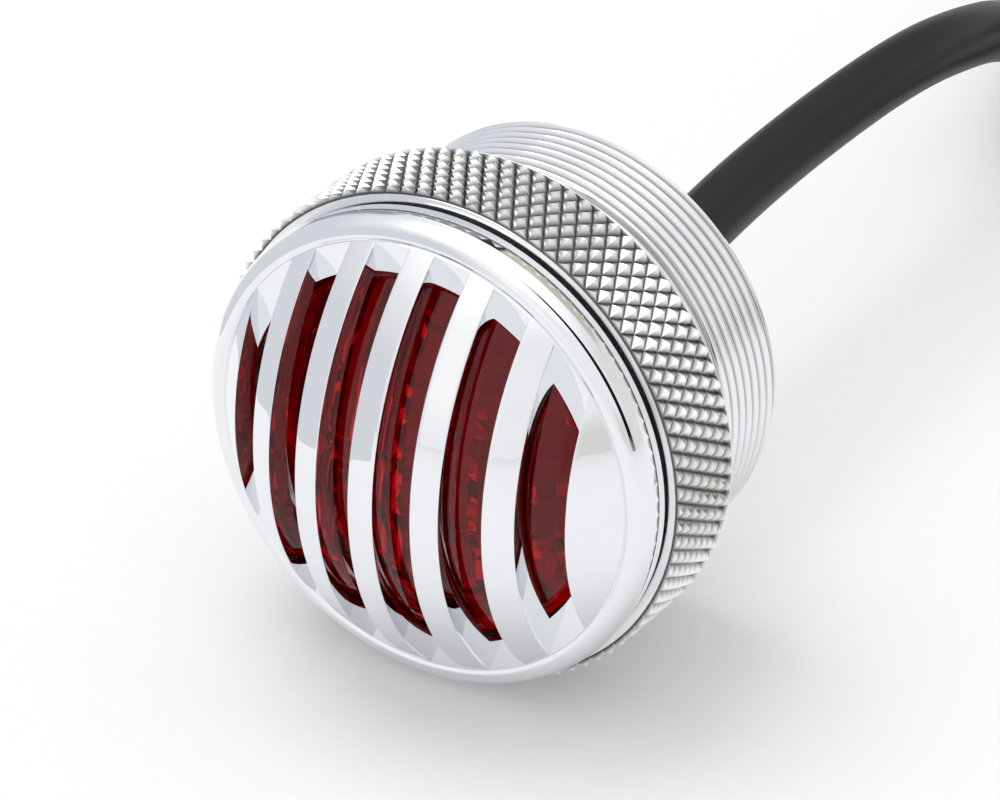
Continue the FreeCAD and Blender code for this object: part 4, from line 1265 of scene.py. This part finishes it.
class TailLightKnurl(bpy.types.PropertyGroup):
    """Sizes of the collar's diamond knurl."""

    depth: length("Depth", "Height of each pyramid", 0.62)
    axial_pitch: length("Axial pitch", "Length of one diamond along the lamp", 3.05)
    front_land: length("Front land", "Plain width before the knurl", 0.1)
    rear_land: length("Rear land", "Plain width after the knurl", 0.45)
    around: IntProperty(name="Around", description="Diamonds round the collar", default=89, min=12)
    rows: IntProperty(name="Rows", description="Rows of diamonds, before they are trimmed", default=4, min=1)


class TailLightLens(bpy.types.PropertyGroup):
    """Sizes of the lens."""

    wall: length("Wall", "Thickness of the lens", 2.2)
    flute_pitch: length("Flute pitch", "Distance from one flute to the next", 2.4)
    flute_depth: length("Flute depth", "Depth of the flutes in the inner face", 0.7)
    pillow_pitch: length("Pillow pitch", "Distance from one swelling of a flute to the next", 6.2)
    pillow_depth: length("Pillow depth", "Height of those swellings", 0.55)


class TailLightColours(bpy.types.PropertyGroup):
    """Colours of the main finishes."""

    chrome: shade("Chrome", "Polished chrome", "#EFF0F2")
    chrome_tint: shade("Chrome shade", "Second tone in the chrome", "#EAECEF")
    jacket: shade("Jacket", "Jacket of the lead", "#110F0F")


class TailLightCamera(bpy.types.PropertyGroup):
    """Where the camera stands."""

    azimuth: turn("Azimuth", "Turn about the vertical, from straight in front", 0.554867)
    elevation: turn("Elevation", "Height above the horizontal", 0.534393)
    roll: turn("Roll", "Turn about the line of sight", 0.0140376)
    distance: length("Distance", "Distance from the point aimed at", 780.63)
    aim_right: length("Aim to the right", "Shift of the point aimed at", 7.4453)
    aim_up: length("Aim up", "Shift of the point aimed at", 5.5951)
    focal_length: FloatProperty(
        name="Focal length", description="In millimetres", default=296.4, unit="CAMERA"
    )


class TailLightStudio(bpy.types.PropertyGroup):
    """Light in the studio."""

    ambient: amount("Surroundings", "Strength of the white surroundings", 1.0)
    key_power: amount("Softbox power", "In watts", 3.2, unit="POWER")
    floor_glow: amount("Floor glow", "Light the floor gives of itself", 0.2)


GROUPS = {
    "tail_light_cap": TailLightCap,
    "tail_light_thread": TailLightThread,
    "tail_light_knurl": TailLightKnurl,
    "tail_light_lens": TailLightLens,
    "tail_light_colours": TailLightColours,
    "tail_light_camera": TailLightCamera,
    "tail_light_studio": TailLightStudio,
}


class TAILLIGHT_OT_camera(bpy.types.Operator):
    """Place the camera"""

    bl_idname = "tail_light.camera"
    bl_label = "Camera"

    def execute(self, context):
        make_camera(context.scene.tail_light_camera)
        return {"FINISHED"}


class TAILLIGHT_OT_finishes(bpy.types.Operator):
    """Make every finish of the lamp"""

    bl_idname = "tail_light.finishes"
    bl_label = "Finishes"

    def execute(self, context):
        make_materials(context.scene.tail_light_colours)
        return {"FINISHED"}


class TAILLIGHT_OT_lead(bpy.types.Operator):
    """Make the strain relief, the lead with its coil and tie, and its terminals"""

    bl_idname = "tail_light.lead"
    bl_label = "Lead"

    def execute(self, context):
        make_lead([make_boot(), make_tie(), *make_lead_end()])
        return {"FINISHED"}


class TAILLIGHT_OT_cap(bpy.types.Operator):
    """Make the finned cap"""

    bl_idname = "tail_light.cap"
    bl_label = "Finned Cap"

    def execute(self, context):
        make_cap(context.scene.tail_light_cap)
        return {"FINISHED"}


class TAILLIGHT_OT_barrel(bpy.types.Operator):
    """Make the barrel and cut its thread"""

    bl_idname = "tail_light.barrel"
    bl_label = "Threaded Barrel"

    def execute(self, context):
        make_barrel(context.scene.tail_light_thread)
        return {"FINISHED"}


class TAILLIGHT_OT_collar(bpy.types.Operator):
    """Make the locking collar and wrap its knurl"""

    bl_idname = "tail_light.collar"
    bl_label = "Knurled Collar"

    def execute(self, context):
        make_collar(context.scene.tail_light_knurl)
        return {"FINISHED"}


class TAILLIGHT_OT_lens(bpy.types.Operator):
    """Make the red lens"""

    bl_idname = "tail_light.lens"
    bl_label = "Lens"

    def execute(self, context):
        make_lens(context.scene.tail_light_lens)
        return {"FINISHED"}


class TAILLIGHT_OT_seals(bpy.types.Operator):
    """Make the washer, the lens gasket and the lead's crimped stop"""

    bl_idname = "tail_light.seals"
    bl_label = "Seals and Stop"

    def execute(self, context):
        make_seals()
        return {"FINISHED"}


class TAILLIGHT_OT_electronics(bpy.types.Operator):
    """Make the reflector, the circuit board with its parts, and the cores"""

    bl_idname = "tail_light.electronics"
    bl_label = "Reflector and Board"

    def execute(self, context):
        make_reflector()
        make_board()
        make_cores()
        return {"FINISHED"}


class TAILLIGHT_OT_stage(bpy.types.Operator):
    """Lay the floor and set the studio light"""

    bl_idname = "tail_light.stage"
    bl_label = "Stage"

    def execute(self, context):
        make_stage(context.scene.tail_light_studio)
        return {"FINISHED"}


OPERATORS = (
    TAILLIGHT_OT_camera,
    TAILLIGHT_OT_finishes,
    TAILLIGHT_OT_lead,
    TAILLIGHT_OT_cap,
    TAILLIGHT_OT_barrel,
    TAILLIGHT_OT_collar,
    TAILLIGHT_OT_lens,
    TAILLIGHT_OT_seals,
    TAILLIGHT_OT_electronics,
    TAILLIGHT_OT_stage,
)


class TAILLIGHT_PT_build(bpy.types.Panel):
    """Lists the lamp's steps, and its sizes and colours."""

    bl_idname = "TAILLIGHT_PT_build"
    bl_label = "Tail Light"
    bl_space_type = "VIEW_3D"
    bl_region_type = "UI"
    bl_category = "Tail Light"

    def draw(self, context):
        for operator in OPERATORS:
            self.layout.operator(operator.bl_idname)
        for name, group in GROUPS.items():
            box = self.layout.box()
            box.label(text=group.__doc__)
            for prop in group.__annotations__:
                box.prop(getattr(context.scene, name), prop)


def register():
    for group in (*GROUPS.values(), *OPERATORS, TAILLIGHT_PT_build):
        bpy.utils.register_class(group)
    for name, group in GROUPS.items():
        setattr(bpy.types.Scene, name, PointerProperty(type=group))


def unregister():
    for name in GROUPS:
        delattr(bpy.types.Scene, name)
    for group in reversed((*GROUPS.values(), *OPERATORS, TAILLIGHT_PT_build)):
        bpy.utils.unregister_class(group)


def main():
    register()
    for operator in OPERATORS:
        area, name = operator.bl_idname.split(".")
        getattr(getattr(bpy.ops, area), name)()
    bpy.context.view_layer.update()


if __name__ == "__main__":
    main()
